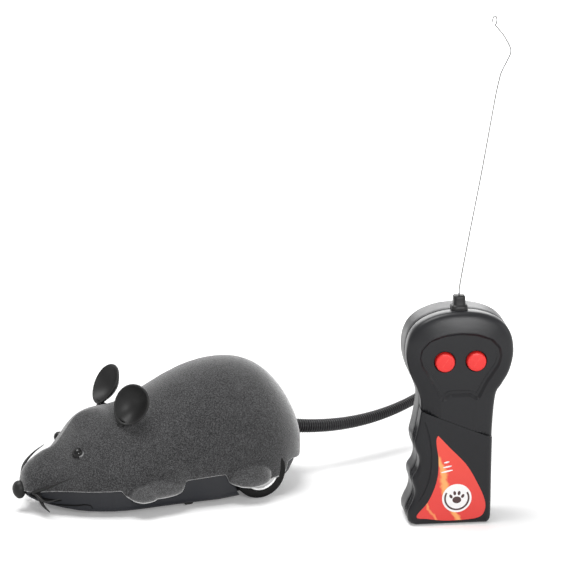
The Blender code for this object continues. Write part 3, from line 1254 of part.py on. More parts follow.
def drawn_in(points, inset):
    """A closed anticlockwise outline moved inward; a negative inset lets it out.

    It moves in small steps. Points that close up on the way are spread along
    their outline again, so that narrow curves never cross themselves.
    """
    points = [Vector(point) for point in points]
    lengths = [(after - point).length for point, after in zip(points, [*points[1:], points[0]])]
    steps = max(1, round(abs(inset) / INSET_STEP))
    for _ in range(steps):
        before, after = [points[-1], *points[:-1]], [*points[1:], points[0]]
        moved = []
        for last, point, following in zip(before, points, after):
            one, other = (point - last).normalized(), (following - point).normalized()
            inward = Vector((-one.y - other.y, one.x + other.x)).normalized()
            spread = max(inward.dot(Vector((-one.y, one.x))), NORMAL_FLOOR)
            moved.append(point + inward * inset / steps / spread)
        points = spread_again(moved, lengths)
    return [tuple(point) for point in points]


def spread_again(points, lengths):
    """Even out the points of an outline where they have come close together."""
    last_lengths = [lengths[-1], *lengths[:-1]]
    eased = []
    for index, point in enumerate(points):
        last, following = points[index - 1], points[(index + 1) % len(points)]
        along = (following - last).normalized()
        near_last = (point - last).dot(along) < CLOSE_SHARE * last_lengths[index]
        near_next = (following - point).dot(along) < CLOSE_SHARE * lengths[index]
        if near_last or near_next:
            point = point + along * ((last + following) / 2 - point).dot(along) / 2
        eased.append(point)
    return eased


def plate_ring(outline, y):
    """An outline of (x, z) set upright at one depth."""
    return [(x, y, z) for x, z in outline]


def case_form(name, inset, joint, face, rounding, material, remote):
    """Half of the case: a block from the joint to a face with a round edge."""
    way = 1 if face > joint else -1
    rings = [plate_ring(remote_outline(inset), joint)]
    steps = 3 if rounding else 0
    for step in range(steps + 1):
        angle = pi / 2 * step / steps if steps else 0
        depth = face - way * rounding * (1 - sin(angle))
        rings.append(plate_ring(remote_outline(inset + rounding * (1 - cos(angle))), depth))
    return solid(name, rings, material, remote)


def split_cutter(name, above, material, remote):
    """What lies above or below the slanting joint of the front case."""
    half = 2 * REMOTE_HALF_WIDTH
    slope = (SPLIT_RIGHT_SHARE - SPLIT_LEFT_SHARE) * REMOTE_HEIGHT / (2 * REMOTE_HALF_WIDTH)
    middle = (SPLIT_LEFT_SHARE + SPLIT_RIGHT_SHARE) * REMOTE_HEIGHT / 2
    shift = -GAP / 2 if above else GAP / 2
    left, right = middle - slope * half + shift, middle + slope * half + shift
    far = 2 * REMOTE_HEIGHT if above else -REMOTE_HEIGHT
    outline = [(-half, left), (half, right), (half, far), (-half, far)]
    rings = [plate_ring(outline, y) for y in (FRONT_FACE - OVERRUN, BACK_FACE)]
    return solid(name, rings, material, remote)


def panel_outline(spread):
    """The sunken panel, let out by spread."""
    right = [(x * REMOTE_HALF_WIDTH, z * REMOTE_HEIGHT) for x, z in PANEL_SHARES]
    left = [(-x, z) for x, z in reversed(right[1:-1])]
    return drawn_in(right + left, -spread)


def button_places():
    """Middle of each button across the remote control, by its word."""
    return (("forward", -BUTTON_SPREAD / 2), ("turn", BUTTON_SPREAD / 2))


def boot_room(name, gap, material, remote):
    """The space of the antenna boot's foot in the case."""
    half = BOOT_WIDTH / 2 + gap
    low = (-half, CASE_JOINT - half, REMOTE_HEIGHT - BOOT_FOOT - gap)
    return box(name, low, (half, CASE_JOINT + half, REMOTE_HEIGHT + BOOT_HEIGHT), material, remote)


def make_front_case(looks, remote):
    """Head of the front case with its sunken panel, and the grip cover."""
    case = looks["case"]
    joint = CASE_JOINT - GAP / 2
    front = case_form("remote_front", 0.0, joint, FRONT_FACE, REMOTE_FRONT_ROUND, case, remote)
    cut(front, case_form("front_hollow", REMOTE_WALL, CASE_JOINT + OVERRUN, PANEL_BACK, 0, case, remote))
    slope = PANEL_SLOPE / PANEL_DEPTH
    rings = [plate_ring(panel_outline(spread), y) for spread, y in
             ((0, PANEL_FACE), (PANEL_SLOPE + slope * OVERRUN, FRONT_FACE - OVERRUN))]
    cut(front, solid("panel_sink", rings, case, remote))
    for word, x in button_places():
        place = (x, 0, BUTTON_Z)
        hole = rod(f"hole_{word}", PANEL_FACE - OVERRUN, PANEL_BACK + OVERRUN, BUTTON_RADIUS + RUN_GAP,
                   case, remote, place, sides=28)
        cut(front, hole)
    cut(front, split_cutter("below_split", False, case, remote))
    cut(front, boot_room("boot_room_front", GAP, case, remote))
    cover = case_form("remote_grip_cover", 0.0, joint, FRONT_FACE, REMOTE_FRONT_ROUND, case, remote)
    depth = FRONT_FACE + REMOTE_WALL
    cut(cover, case_form("cover_hollow", REMOTE_WALL, CASE_JOINT + OVERRUN, depth, 0, case, remote))
    cut(cover, split_cutter("above_split", True, case, remote))


def remote_board_corners():
    """Low and high corner of the board's face, as (x, z)."""
    low, high = REMOTE_BOARD_LOW_SHARE * REMOTE_HEIGHT, REMOTE_BOARD_HIGH_SHARE * REMOTE_HEIGHT
    return (-REMOTE_BOARD_HALF_WIDTH, low), (REMOTE_BOARD_HALF_WIDTH, high)


def remote_hinge():
    """Middle of the remote door's hinge line, at its lower edge."""
    return (REMOTE_CELL_X, BACK_FACE - HINGE_RISE, REMOTE_BAY_LOW + GAP + HINGE_RISE)


def make_back_case(looks, remote):
    """Back case with the battery opening, its shelf and the board's posts."""
    case = looks["case"]
    joint = CASE_JOINT + GAP / 2
    back = case_form("remote_back", 0.0, joint, BACK_FACE, REMOTE_BACK_ROUND, case, remote)
    inner = BACK_FACE - REMOTE_WALL
    cut(back, case_form("back_hollow", REMOTE_WALL, CASE_JOINT - OVERRUN, inner, 0, case, remote))
    (x0, z0), (x1, z1) = remote_board_corners()
    inset = STANDOFF_RADIUS + GAP
    start = BOARD_FACE + BOARD_THICKNESS + GAP
    for number, (x, z) in enumerate(((x0 + inset, z0 + inset), (x1 - inset, z0 + inset),
                                     (x0 + inset, z1 - inset), (x1 - inset, z1 - inset))):
        join(back, rod(f"remote_post_{number}", start, inner + SINK, STANDOFF_RADIUS, case, remote, (x, 0, z), sides=12))
    out = REMOTE_BAY_HALF
    shelf_low = (REMOTE_CELL_X - out, CASE_JOINT + GAP, REMOTE_BAY_HIGH)
    shelf_high = (REMOTE_CELL_X + out, inner + SINK, REMOTE_BAY_HIGH + BOX_WALL)
    join(back, box("cell_shelf", shelf_low, shelf_high, case, remote))
    low = (REMOTE_CELL_X - out, inner - OVERRUN, REMOTE_BAY_LOW)
    cut(back, box("door_opening", low, (REMOTE_CELL_X + out, BACK_FACE + OVERRUN, REMOTE_BAY_HIGH), case, remote))
    reach = out + DOOR_PIN_REACH
    cut(back, rod("remote_pin_hole", -reach, reach, DOOR_PIN_RADIUS + GAP, case, remote, remote_hinge(), "X", 12))
    cut(back, boot_room("boot_room_back", GAP, case, remote))


def make_remote_door(looks, remote):
    """Battery door at the back of the remote control, hung at its foot."""
    hinge = remote_hinge()
    half = REMOTE_BAY_HALF - GAP
    outline = door_outline(REMOTE_BAY_HIGH - GAP - hinge[2])
    rings = [[(x, HINGE_RISE - out, along) for along, out in outline] for x in (-half, half)]
    door = solid("remote_battery_door", rings, looks["case"], remote, hinge)
    add_door_pins(door, "remote_door_pin", half, "X", looks["case"], remote, hinge)


def make_buttons(looks, remote):
    """Two round buttons, each with a flange behind the panel and a stem."""
    front = PANEL_FACE - BUTTON_PROUD
    for word, x in button_places():
        profile = [(front, BUTTON_RADIUS - BUTTON_ROUND), (front + BUTTON_ROUND * 0.3, BUTTON_RADIUS - BUTTON_ROUND * 0.3),
                   (front + BUTTON_ROUND, BUTTON_RADIUS), (PANEL_BACK + GAP, BUTTON_RADIUS),
                   (PANEL_BACK + GAP, BUTTON_FLANGE_RADIUS), (FLANGE_BACK, BUTTON_FLANGE_RADIUS),
                   (FLANGE_BACK, PLUNGER_RADIUS), (STEM_END, PLUNGER_RADIUS)]
        turned(f"button_{word}", profile, looks["red"], remote, (x, 0, BUTTON_Z), sides=28)


def make_remote_board(looks, remote):
    """Circuit board with a push switch behind each button."""
    (x0, z0), (x1, z1) = remote_board_corners()
    green = looks["board"]
    board = box("remote_board", (x0, BOARD_FACE, z0), (x1, BOARD_FACE + BOARD_THICKNESS, z1), green, remote)
    for word, x in button_places():
        low = (x - TACT_HALF, BOARD_FACE - TACT_HEIGHT, BUTTON_Z - TACT_HALF)
        high = (x + TACT_HALF, BOARD_FACE + SINK / 2, BUTTON_Z + TACT_HALF)
        join(board, box(f"push_switch_{word}", low, high, green, remote))
        join(board, rod(f"plunger_{word}", PLUNGER_TIP, BOARD_FACE - TACT_HEIGHT + SINK / 2, PLUNGER_RADIUS,
                        green, remote, (x, 0, BUTTON_Z), sides=12))


def make_remote_cells(looks, remote):
    """Two cells upright in the grip, head to tail, with their springs."""
    left, right = REMOTE_CELL_X - CELL_PITCH / 2, REMOTE_CELL_X + CELL_PITCH / 2
    y = REMOTE_CELL_Y
    cell("remote_cell_1", (left, y, REMOTE_BAY_LOW + SPRING_LENGTH + CELL_GAP), "Z", looks, remote)
    cell("remote_cell_2", (right, y, REMOTE_BAY_HIGH - SPRING_LENGTH - CELL_GAP), "-Z", looks, remote)
    contact_spring("remote_spring_1", (left, y, REMOTE_BAY_LOW), "Z", looks, remote)
    contact_spring("remote_spring_2", (right, y, REMOTE_BAY_HIGH - GAP), "-Z", looks, remote)


def make_boot(looks, remote):
    """Antenna boot: a square foot, a smaller neck and a chamfered top."""
    rubber = looks["rubber"]
    bottom = REMOTE_HEIGHT - BOOT_FOOT
    neck_top = bottom + BOOT_HEIGHT + BOOT_NECK_HEIGHT
    heights = (bottom, bottom + BOOT_HEIGHT - BOOT_CHAMFER / 2, bottom + BOOT_HEIGHT,
               bottom + BOOT_HEIGHT, neck_top - BOOT_CHAMFER, neck_top)
    halves = (BOOT_WIDTH / 2, BOOT_WIDTH / 2, BOOT_WIDTH / 2 - BOOT_CHAMFER / 3,
              BOOT_NECK_WIDTH / 2, BOOT_NECK_WIDTH / 2, BOOT_NECK_WIDTH / 2 - BOOT_CHAMFER)
    rings = []
    for z, half in zip(heights, halves):
        corner = half * 0.55
        octagon = [(half, -corner), (half, corner), (corner, half), (-corner, half),
                   (-half, corner), (-half, -corner), (-corner, -half), (corner, -half)]
        rings.append([(x, CASE_JOINT + y, z) for x, y in octagon])
    boot = solid("antenna_boot", rings, rubber, remote)
    hole = ANTENNA_RADIUS + GAP
    place = (0, CASE_JOINT, 0)
    cut(boot, rod("antenna_socket", neck_top - ANTENNA_ROOT, neck_top + OVERRUN, hole, rubber, remote, place, "Z", 12))
    return neck_top


def make_antenna(looks, remote, foot_height):
    """Springy wire with a small safety loop bent at its tip."""
    rows = [(x * ANTENNA_LENGTH, z * ANTENNA_LENGTH) for x, z in ANTENNA_SHARES]
    line = [(x, foot_height + z) for x, z in blend_rows(rows, 2)]
    end_x, end_z = line[-1]
    middle = end_z + LOOP_HEIGHT / 2
    for step in range(1, 9):
        angle = -pi / 2 + radians(300) * step / 8
        line.append((end_x + LOOP_HALF_WIDTH * cos(angle), middle + LOOP_HEIGHT / 2 * sin(angle)))
    start = (0, foot_height - ANTENNA_ROOT + GAP)
    path = [(x, CASE_JOINT, z) for x, z in [start, *line]]
    swept("antenna_wire", path, [ANTENNA_RADIUS] * len(path), 6, looks["steel"], remote)


def holder(name, place, turn, parent=None):
    """An empty that carries a group of pieces."""
    empty = bpy.data.objects.new(name, None)
    bpy.context.scene.collection.objects.link(empty)
    empty.location = place
    empty.rotation_euler = (0, 0, turn)
    empty.parent = parent
    return empty


def centre_on_floor(root):
    """Move the whole set so that its box is centred over the origin."""
    bpy.context.view_layer.update()
    graph = bpy.context.evaluated_depsgraph_get()
    low, high = np.full(3, np.inf), np.full(3, -np.inf)
    for thing in bpy.data.objects:
        if thing.type != "MESH" or thing.hide_render:
            continue
        shape = thing.evaluated_get(graph)
        for vert in shape.data.vertices:
            place = np.array(shape.matrix_world @ vert.co)
            low, high = np.minimum(low, place), np.maximum(high, place)
    middle = (low + high) / 2
    root.location = (-middle[0], -middle[1], 0)
    print("size", [round(float(side), 4) for side in high - low], "lowest", round(float(low[2]), 5))


def main():
    """Build the mouse and its remote control."""
    clear_scene()
    looks = make_finishes()
    root = holder("toy_set", (0, 0, 0), 0)
    mouse = holder("mouse", (0, 0, 0), 0, root)
    make_body_shell(looks, mouse)
    make_chassis(looks, mouse)
    make_power_switch(looks, mouse)
    make_door(looks, mouse)
    make_cells(looks, mouse)
    make_receiver(looks, mouse)
    make_rear_axle(looks, mouse)
    make_idler(looks, mouse)
    make_motor(looks, mouse)
    make_gear_frame(looks, mouse)
    make_caster(looks, mouse)
    nose_form("nose", 0.0, looks["rubber"], mouse)
    for side, word in ((-1, "left"), (1, "right")):
        eye_form(f"eye_{word}", side, 0.0, looks["bead"], mouse)
        make_ear(side, word, looks, mouse)
        whisker_form(f"whiskers_{word}", side, 0.0, looks["rubber"], mouse)
    make_tail(looks, mouse)
    across, away = REMOTE_PLACE_SHARES
    place = (body_x(across), away * BODY_HALF_WIDTH, 0)
    remote = holder("remote", place, REMOTE_TURN, root)
    make_front_case(looks, remote)
    make_back_case(looks, remote)
    make_remote_door(looks, remote)
    make_buttons(looks, remote)
    make_remote_board(looks, remote)
    make_remote_cells(looks, remote)
    make_antenna(looks, remote, make_boot(looks, remote))
    centre_on_floor(root)


main()
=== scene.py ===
"""Looks of a robotic toy mouse and its radio remote control, around their CAD frame."""

from __future__ import annotations

import json
import logging
import math
from dataclasses import dataclass, field
from enum import Enum
from typing import Callable, Sequence

import bmesh
import bpy
import numpy as np
from mathutils import Matrix, Vector

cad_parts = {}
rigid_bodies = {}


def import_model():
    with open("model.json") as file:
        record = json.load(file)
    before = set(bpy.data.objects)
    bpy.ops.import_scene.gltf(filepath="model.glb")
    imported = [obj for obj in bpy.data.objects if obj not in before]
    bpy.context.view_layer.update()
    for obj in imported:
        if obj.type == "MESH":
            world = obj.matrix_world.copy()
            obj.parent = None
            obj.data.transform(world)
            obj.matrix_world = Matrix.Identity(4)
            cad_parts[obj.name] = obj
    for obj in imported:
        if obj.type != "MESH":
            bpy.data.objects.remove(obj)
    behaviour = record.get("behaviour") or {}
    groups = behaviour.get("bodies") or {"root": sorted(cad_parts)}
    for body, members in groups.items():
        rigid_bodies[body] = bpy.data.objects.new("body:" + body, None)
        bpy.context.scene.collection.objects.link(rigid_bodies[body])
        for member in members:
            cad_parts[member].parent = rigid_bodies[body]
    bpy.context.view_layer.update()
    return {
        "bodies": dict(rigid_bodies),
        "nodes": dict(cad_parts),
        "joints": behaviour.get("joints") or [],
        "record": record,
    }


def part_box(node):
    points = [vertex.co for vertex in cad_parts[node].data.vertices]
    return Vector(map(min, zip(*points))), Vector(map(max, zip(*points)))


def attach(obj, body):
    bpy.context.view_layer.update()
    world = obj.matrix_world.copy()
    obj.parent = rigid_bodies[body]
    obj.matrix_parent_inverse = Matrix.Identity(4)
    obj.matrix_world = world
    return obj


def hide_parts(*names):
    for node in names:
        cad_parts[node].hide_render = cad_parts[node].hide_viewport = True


Array = np.ndarray
Mesh, Piece, Material = bpy.types.Mesh, bpy.types.Object, bpy.types.Material
Tree, Node, Socket = bpy.types.NodeTree, bpy.types.Node, bpy.types.NodeSocket
Triple = tuple[float, float, float]
Pairs = tuple[tuple[float, float], ...]
Rows = tuple[tuple[float, ...], ...]
LOG = logging.getLogger("mouse_toy")
FLAT_AREA = 3e-6    # a face larger than this, in square metres, is a flat one
FAR_OUT = 0.06      # a place beside the mouse, clear of its flanks, in metres


class Side(Enum):
    """The two sides of the mouse, as the sign of y."""

    LEFT = -1
    RIGHT = 1

    @property
    def word(self) -> str:
        """The side's word in piece names."""
        return self.name.lower()


class Axis(Enum):
    """The axis that a turned piece runs along."""

    X = 0
    Y = 1
    Z = 2


@dataclass(frozen=True)
class Site:
    """Where the two things of the set stand in the frame.

    Both have a frame of their own: the mouse's has its nose end at
    x = -72 mm, the remote control's is at the middle of its foot.
    """

    mouse: Array
    remote: Array
    turn: float = math.radians(-16.8)
    axle_x: float = 0.0426124
    apart: tuple[float, float] = (0.1200063, -0.09044)

    @classmethod
    def found(cls, frame: dict) -> "Site":
        """Work out the site from the place of the rear axle's joint.


        Returns:
            The site of this build.
        """
        spot = next(j for j in frame["joints"] if j["name"] == "rear_wheel_spin")["pos_m"]
        mouse = np.array([spot[0] - cls.axle_x, spot[1], 0.0])
        return cls(mouse, mouse + np.array([*cls.apart, 0.0]))

    def on_mouse(self, points: Array) -> Array:
        """Mouse coordinates to the frame's."""
        return np.asarray(points, float) + self.mouse

    def on_remote(self, points: Array) -> Array:
        """Remote coordinates to the frame's, turned about the upright axis."""
        points = np.asarray(points, float)
        cos, sin = math.cos(self.turn), math.sin(self.turn)
        turned = np.stack([points[..., 0] * cos - points[..., 1] * sin,
                           points[..., 0] * sin + points[..., 1] * cos, points[..., 2]], -1)
        return turned + self.remote


# Surfaces

def smooth_curve(rows: Sequence[Sequence[float]], count: int) -> Array:
    """Points on a smooth curve through the rows of a table.

    A cubic with the slope of its neighbours (Catmull and Rom's) runs between
    each two rows, and count points are spread evenly over the row numbers.

    Args:
        rows: The knots, one row each.
        count: How many points to give back.

    Returns:
        An array of count rows.
    """
    knots = np.array(rows, float)
    knots = np.vstack([2 * knots[0] - knots[1], knots, 2 * knots[-1] - knots[-2]])
    place = np.linspace(0, len(rows) - 1, count)
    span = np.minimum(place.astype(int), len(rows) - 2)
    t = (place - span)[:, None]
    a, b, c, d = (knots[span + step] for step in range(4))
    return 0.5 * (2 * b + (c - a) * t + (2 * a - 5 * b + 4 * c - d) * t ** 2
                  + (3 * b - a - 3 * c + d) * t ** 3)


def even_curve(points: Array, count: int) -> Array:
    """The same line with count points at even distances along it."""
    gone = np.concatenate([[0], np.cumsum(np.linalg.norm(np.diff(points, axis=0), axis=1))])
    place = np.linspace(0, gone[-1], count)
    return np.stack([np.interp(place, gone, column) for column in points.T], -1)


def even_ring(points: Array, count: int) -> Array:
    """A closed line with count points at even distances round it."""
    return even_curve(np.vstack([points, points[:1]]), count + 1)[:-1]


def whole_turn(count: int) -> Array:
    """Angles evenly round a circle, without its end."""
    return np.linspace(0, 2 * math.pi, count, endpoint=False)


def upright(ring: Array, y: float) -> Array:
    """Points in x and z stood up at one y."""
    return np.column_stack([ring[:, 0], np.full(len(ring), y), ring[:, 1]])


def places_of(piece: Piece) -> Array:
    """The points of a piece, one row each."""
    places = np.empty(len(piece.data.vertices) * 3, np.float32)
    piece.data.vertices.foreach_get("co", places)
    return places.reshape(-1, 3)


def moved(piece: Piece, way: Callable[[Array], Array]) -> Piece:
    """Set a piece's points anew, each by a function of its place."""
    piece.data.vertices.foreach_set("co", way(places_of(piece)).astype(np.float32).ravel())
    piece.data.update()
    return piece


def soft_max(first: Array, second: Array, blend: float) -> Array:
    """The larger of two arrays, rounded over by blend where they cross.

    It is (a + b + sqrt((a - b) ** 2 + blend ** 2)) / 2.
    """
    return (first + second + np.sqrt((first - second) ** 2 + blend ** 2)) / 2


def flatten(mesh: Mesh) -> None:
    """Shade the large faces of a mesh flat and the others smooth."""
    areas = np.empty(len(mesh.polygons))
    mesh.polygons.foreach_get("area", areas)
    mesh.polygons.foreach_set("use_smooth", areas < FLAT_AREA)


def put_mesh(name: str, points: Array, quads: Array, extra: Sequence[Sequence[int]] = ()) -> Piece:
    """A smooth mesh object from points and faces, its faces turned outward.

    Args:
        name: The piece's name.
        points: Its points, one row each, in the frame's metres.
        quads: Rows of four point numbers.
        extra: Faces with other counts, such as end caps.

    Returns:
        The object, at the origin.
    """
    mesh = bpy.data.meshes.new(name)
    mesh.from_pydata(points.tolist(), [], quads.tolist() + [list(face) for face in extra])
    work = bmesh.new()
    work.from_mesh(mesh)
    bmesh.ops.remove_doubles(work, verts=work.verts, dist=1e-7)
    bmesh.ops.recalc_face_normals(work, faces=work.faces)
    work.to_mesh(mesh)
    work.free()
    mesh.shade_smooth()
    flatten(mesh)
    piece = bpy.data.objects.new(name, mesh)
    bpy.context.scene.collection.objects.link(piece)
    return piece


def grid_faces(rows: int, columns: int, round_rows: bool, round_columns: bool) -> Array:
    """Point numbers of the faces of a grid that may close on itself."""
    low = np.arange(rows if round_rows else rows - 1)[:, None]
    left = np.arange(columns if round_columns else columns - 1)[None, :]
    above, right = (low + 1) % rows, (left + 1) % columns
    corners = [low * columns + left, low * columns + right, above * columns + right, above * columns + left]
    return np.stack([np.broadcast_to(c, np.broadcast_shapes(low.shape, left.shape)) for c in corners],
                    -1).reshape(-1, 4)


def grid(name: str, points: Array, round_rows: bool = False, round_columns: bool = True,
         caps: bool = False) -> Piece:
    """A surface whose points are a function of a row and a column.

    Args:
        name: The piece's name.
        points: Array of rows, columns and x, y, z.
        round_rows: Whether the last row meets the first.
        round_columns: Whether the last column meets the first.
        caps: Whether the first and last row are closed by a face.

    Returns:
        The object.
    """
    rows, columns = points.shape[:2]
    ends = []
    if caps:
        ends = [list(range(columns))[::-1], list(range((rows - 1) * columns, rows * columns))]
    return put_mesh(name, points.reshape(-1, 3), grid_faces(rows, columns, round_rows, round_columns), ends)


def turned(name: str, profile: Array, place: Array, axis: Axis, sides: int = 96,
           ring: bool = False) -> Piece:
    """A turned piece: a profile of (along, radius) carried round an axis.

    Point (i, j) lies at along_i on the axis and radius_i from it, at the
    angle 2 pi j / sides. A ring joins the profile's end to its start.

    Args:
        name: The piece's name.
        profile: Rows of along and radius.
        place: Where the profile's origin stands.
        axis: The axis that it is turned about.
        sides: How many points go round.
        ring: Whether the profile closes on itself.

    Returns:
        The piece.
    """
    angle = whole_turn(sides)[None, :]
    along, radius = profile[:, :1], profile[:, 1:2]
    parts = [np.broadcast_to(along, (len(profile), sides)), radius * np.cos(angle), radius * np.sin(angle)]
    order = {Axis.X: (0, 1, 2), Axis.Y: (2, 0, 1), Axis.Z: (1, 2, 0)}[axis]
    points = np.stack([parts[index] for index in order], -1) + np.asarray(place, float)
    return grid(name, points, round_rows=ring, caps=not ring)


def rounded_profile(corners: Sequence[Triple], steps: int = 5) -> Array:
    """A profile through corners, each rounded by its own radius.

    Args:
        corners: Rows of along, radius and rounding.
        steps: Points on each rounding.

    Returns:
        The profile as rows of along and radius.
    """
    made: list[Array] = []
    places = np.array([corner[:2] for corner in corners], float)
    for index, corner in enumerate(corners):
        here = places[index]
        if corner[2] <= 0 or index in (0, len(corners) - 1):
            made.append(here[None])
            continue
        before, after = places[index - 1] - here, places[index + 1] - here
        reach = min(corner[2], np.linalg.norm(before) * 0.49, np.linalg.norm(after) * 0.49)
        start, end = (here + way / np.linalg.norm(way) * reach for way in (before, after))
        t = np.linspace(0, 1, steps)[:, None]
        made.append((1 - t) ** 2 * start + 2 * t * (1 - t) * here + t ** 2 * end)
    return np.vstack(made)


def path_frames(path: Array, up: Array) -> tuple[Array, Array, Array]:
    """Direction, side and upright at each point of a path.

    The side is the cross product of the direction and a fixed up vector, so
    the frame doesn't twist.

    Args:
        path: The points of the path.
        up: A direction that the path never runs along.

    Returns:
        Three arrays of unit vectors, one row for each point.
    """
    way = np.gradient(path, axis=0)
    way /= np.linalg.norm(way, axis=1, keepdims=True)
    side = np.cross(way, up)
    side /= np.linalg.norm(side, axis=1, keepdims=True)
    return way, side, np.cross(side, way)


def tube(name: str, path: Array, radii: Array, sides: int, up: Sequence[float], flat: float = 1.0) -> Piece:
    """A closed tube: a ring carried along a path.

    Point (i, j) is path_i + radius_i (side cos a_j + flat upright sin a_j).

    Args:
        name: The piece's name.
        path: The points of the path.
        radii: The radius at each of them.
        sides: How many points go round.
        up: A direction that the path never runs along.
        flat: How much the ring is squeezed upright, 1 for a round one.

    Returns:
        The tube, closed at both ends.
    """
    _, side, upright = path_frames(path, np.array(up, float))
    angle = whole_turn(sides)[None, :, None]
    ring = side[:, None] * np.cos(angle) + upright[:, None] * np.sin(angle) * flat
    return grid(name, path[:, None] + ring * np.asarray(radii, float)[:, None, None], caps=True)


def ball(name: str, middle: Sequence[float], radii: Sequence[float], turn: Matrix | None = None,
         rows: int = 40, columns: int = 64) -> Piece:
    """An ellipsoid: middle + radii * (sin a cos b, sin a sin b, cos a).

    Args:
        name: The piece's name.
        middle: Its middle.
        radii: Its half sizes.
        turn: How it is turned, if at all.
        rows: Points from pole to pole.
        columns: Points round it.

    Returns:
        The ball.
    """
    a = np.linspace(0.0, math.pi, rows)[:, None]
    b = whole_turn(columns)[None, :]
    points = np.stack([np.sin(a) * np.cos(b), np.sin(a) * np.sin(b), np.cos(a) * np.ones_like(b)], -1)
    points = points * np.array(radii, float)
    if turn is not None:
        points = points @ np.array(turn, float).T
    return grid(name, points + np.array(middle, float))


def on_skin(skin: Piece, spot: Array, way: Sequence[float]) -> Array:
    """Where a ray from a spot outside a skin first meets it.

    Args:
        skin: The object.
        spot: Where the ray starts.
        way: Its direction.

    Returns:
        The place.

    Raises:
        ValueError: If the ray passes the skin by.
    """
    met, place, _, _ = skin.ray_cast(Vector(spot), Vector(way))
    if not met:
        raise ValueError(f"{skin.name} isn't met from {spot}")
    return np.array(place)


def finish_mesh(piece: Piece) -> Piece:
    """Apply every modifier of a piece to its mesh."""
    graph = bpy.context.evaluated_depsgraph_get()
    mesh = bpy.data.meshes.new_from_object(piece.evaluated_get(graph))
    piece.modifiers.clear()
    piece.data = mesh
    return piece


def trim(piece: Piece, *others: Piece, operation: str = "DIFFERENCE") -> Piece:
    """Cut other objects out of a piece and delete them.

    Args:
        piece: The piece that is cut.
        others: What is cut out of it.
        operation: The boolean's kind, should it be another.

    Returns:
        The piece.
    """
    for other in others:
        change = piece.modifiers.new(other.name, "BOOLEAN")
        change.operation, change.solver, change.object = operation, "EXACT", other
    bpy.context.view_layer.update()
    finish_mesh(piece)
    for other in others:
        bpy.data.objects.remove(other)
    return piece


def soften(piece: Piece, width: float, segments: int = 2, angle: float = 35) -> Piece:
    """Round a piece's sharp edges and shade it smooth between them.

    Args:
        piece: The piece.
        width: How far the rounding reaches from an edge.
        segments: Faces across the rounding.
        angle: The least angle of an edge that is rounded, in degrees.

    Returns:
        The piece.
    """
    change = piece.modifiers.new("edges", "BEVEL")
    change.width, change.segments, change.angle_limit = width, segments, math.radians(angle)
    change.limit_method = "ANGLE"
    change.use_clamp_overlap = True
    finish_mesh(piece)
    piece.data.set_sharp_from_angle(angle=math.radians(angle))
    flatten(piece.data)
    return piece


def add_value(piece: Piece, name: str, value: Callable[[Array], Array]) -> None:
    """Store a number at each point of a piece, worked out from its places.

    Args:
        piece: The piece.
        name: Name of the attribute.
        value: The number as a function of the places.
    """
    layer = piece.data.attributes.new(name, "FLOAT", "POINT")
    layer.data.foreach_set("value", value(places_of(piece)).astype(np.float32))


# Finishes

class Wiring:
    """Shorthand for placing and joining nodes in one node tree."""

    def __init__(self, tree: Tree) -> None:
        """Take the tree that the nodes go into."""
        self.tree = tree

    def add(self, kind: str, **settings: object) -> Node:
        """A new node with its settings made."""
        node = self.tree.nodes.new(kind)
        for name, value in settings.items():
            setattr(node, name, value)
        return node

    def feed(self, socket: Socket, value: object) -> None:
        """Give an input a value or another node's output."""
        if isinstance(value, Socket):
            self.tree.links.new(value, socket)
        else:
            socket.default_value = value

    def put(self, node: Node, **sockets: object) -> Node:
        """Set inputs by name, each to a value or to another node's output."""
        for name, value in sockets.items():
            self.feed(node.inputs[name.replace("_", " ")], value)
        return node

    def sums(self, operation: str, *values: object) -> Socket:
        """The result of one Math node."""
        node = self.add("ShaderNodeMath", operation=operation)
        for socket, value in zip(node.inputs, values):
            self.feed(socket, value)
        return node.outputs[0]

    def plus(self, first: object, second: object) -> Socket:
        """The sum of two values."""
        return self.sums("ADD", first, second)

    def minus(self, first: object, second: object) -> Socket:
        """The first value less the second."""
        return self.sums("SUBTRACT", first, second)

    def times(self, first: object, second: object) -> Socket:
        """The product of two values."""
        return self.sums("MULTIPLY", first, second)

    def mixed(self, share: object, first: object, second: object) -> Socket:
        """Two colours mixed by a share."""
        node = self.add("ShaderNodeMix", data_type="RGBA")
        for index, value in ((0, share), (6, first), (7, second)):
            self.feed(node.inputs[index], value)
        return node.outputs[2]

    def group(self, tree: Tree, **sockets: object) -> Node:
        """A group node with its inputs set."""
        return self.put(self.add("ShaderNodeGroup", node_tree=tree), **sockets)

    def place(self) -> Socket:
        """The place of each point in its object, in metres."""
        return self.add("ShaderNodeTexCoord").outputs["Object"]

    def ramp(self, value: Socket, low: float, high: float) -> Socket:
        """A value taken from low to high onto 0 to 1 with a soft start and end."""
        node = self.add("ShaderNodeMapRange", interpolation_type="SMOOTHSTEP")
        self.tree.links.new(value, node.inputs["Value"])
        node.inputs["From Min"].default_value, node.inputs["From Max"].default_value = low, high
        return node.outputs["Result"]

    def noise(self, vector: Socket, scale: object, detail: float = 3.0,
              roughness: float = 0.6) -> Socket:
        """Fractal noise at so many features to the metre."""
        node = self.add("ShaderNodeTexNoise")
        self.put(node, Vector=vector, Scale=scale, Detail=detail, Roughness=roughness)
        return node.outputs["Fac"]


def shade(value: float, tint: Triple = (1, 1, 1)) -> tuple[float, float, float, float]:
    """A colour from one brightness and a tint."""
    return (value * tint[0], value * tint[1], value * tint[2], 1.0)


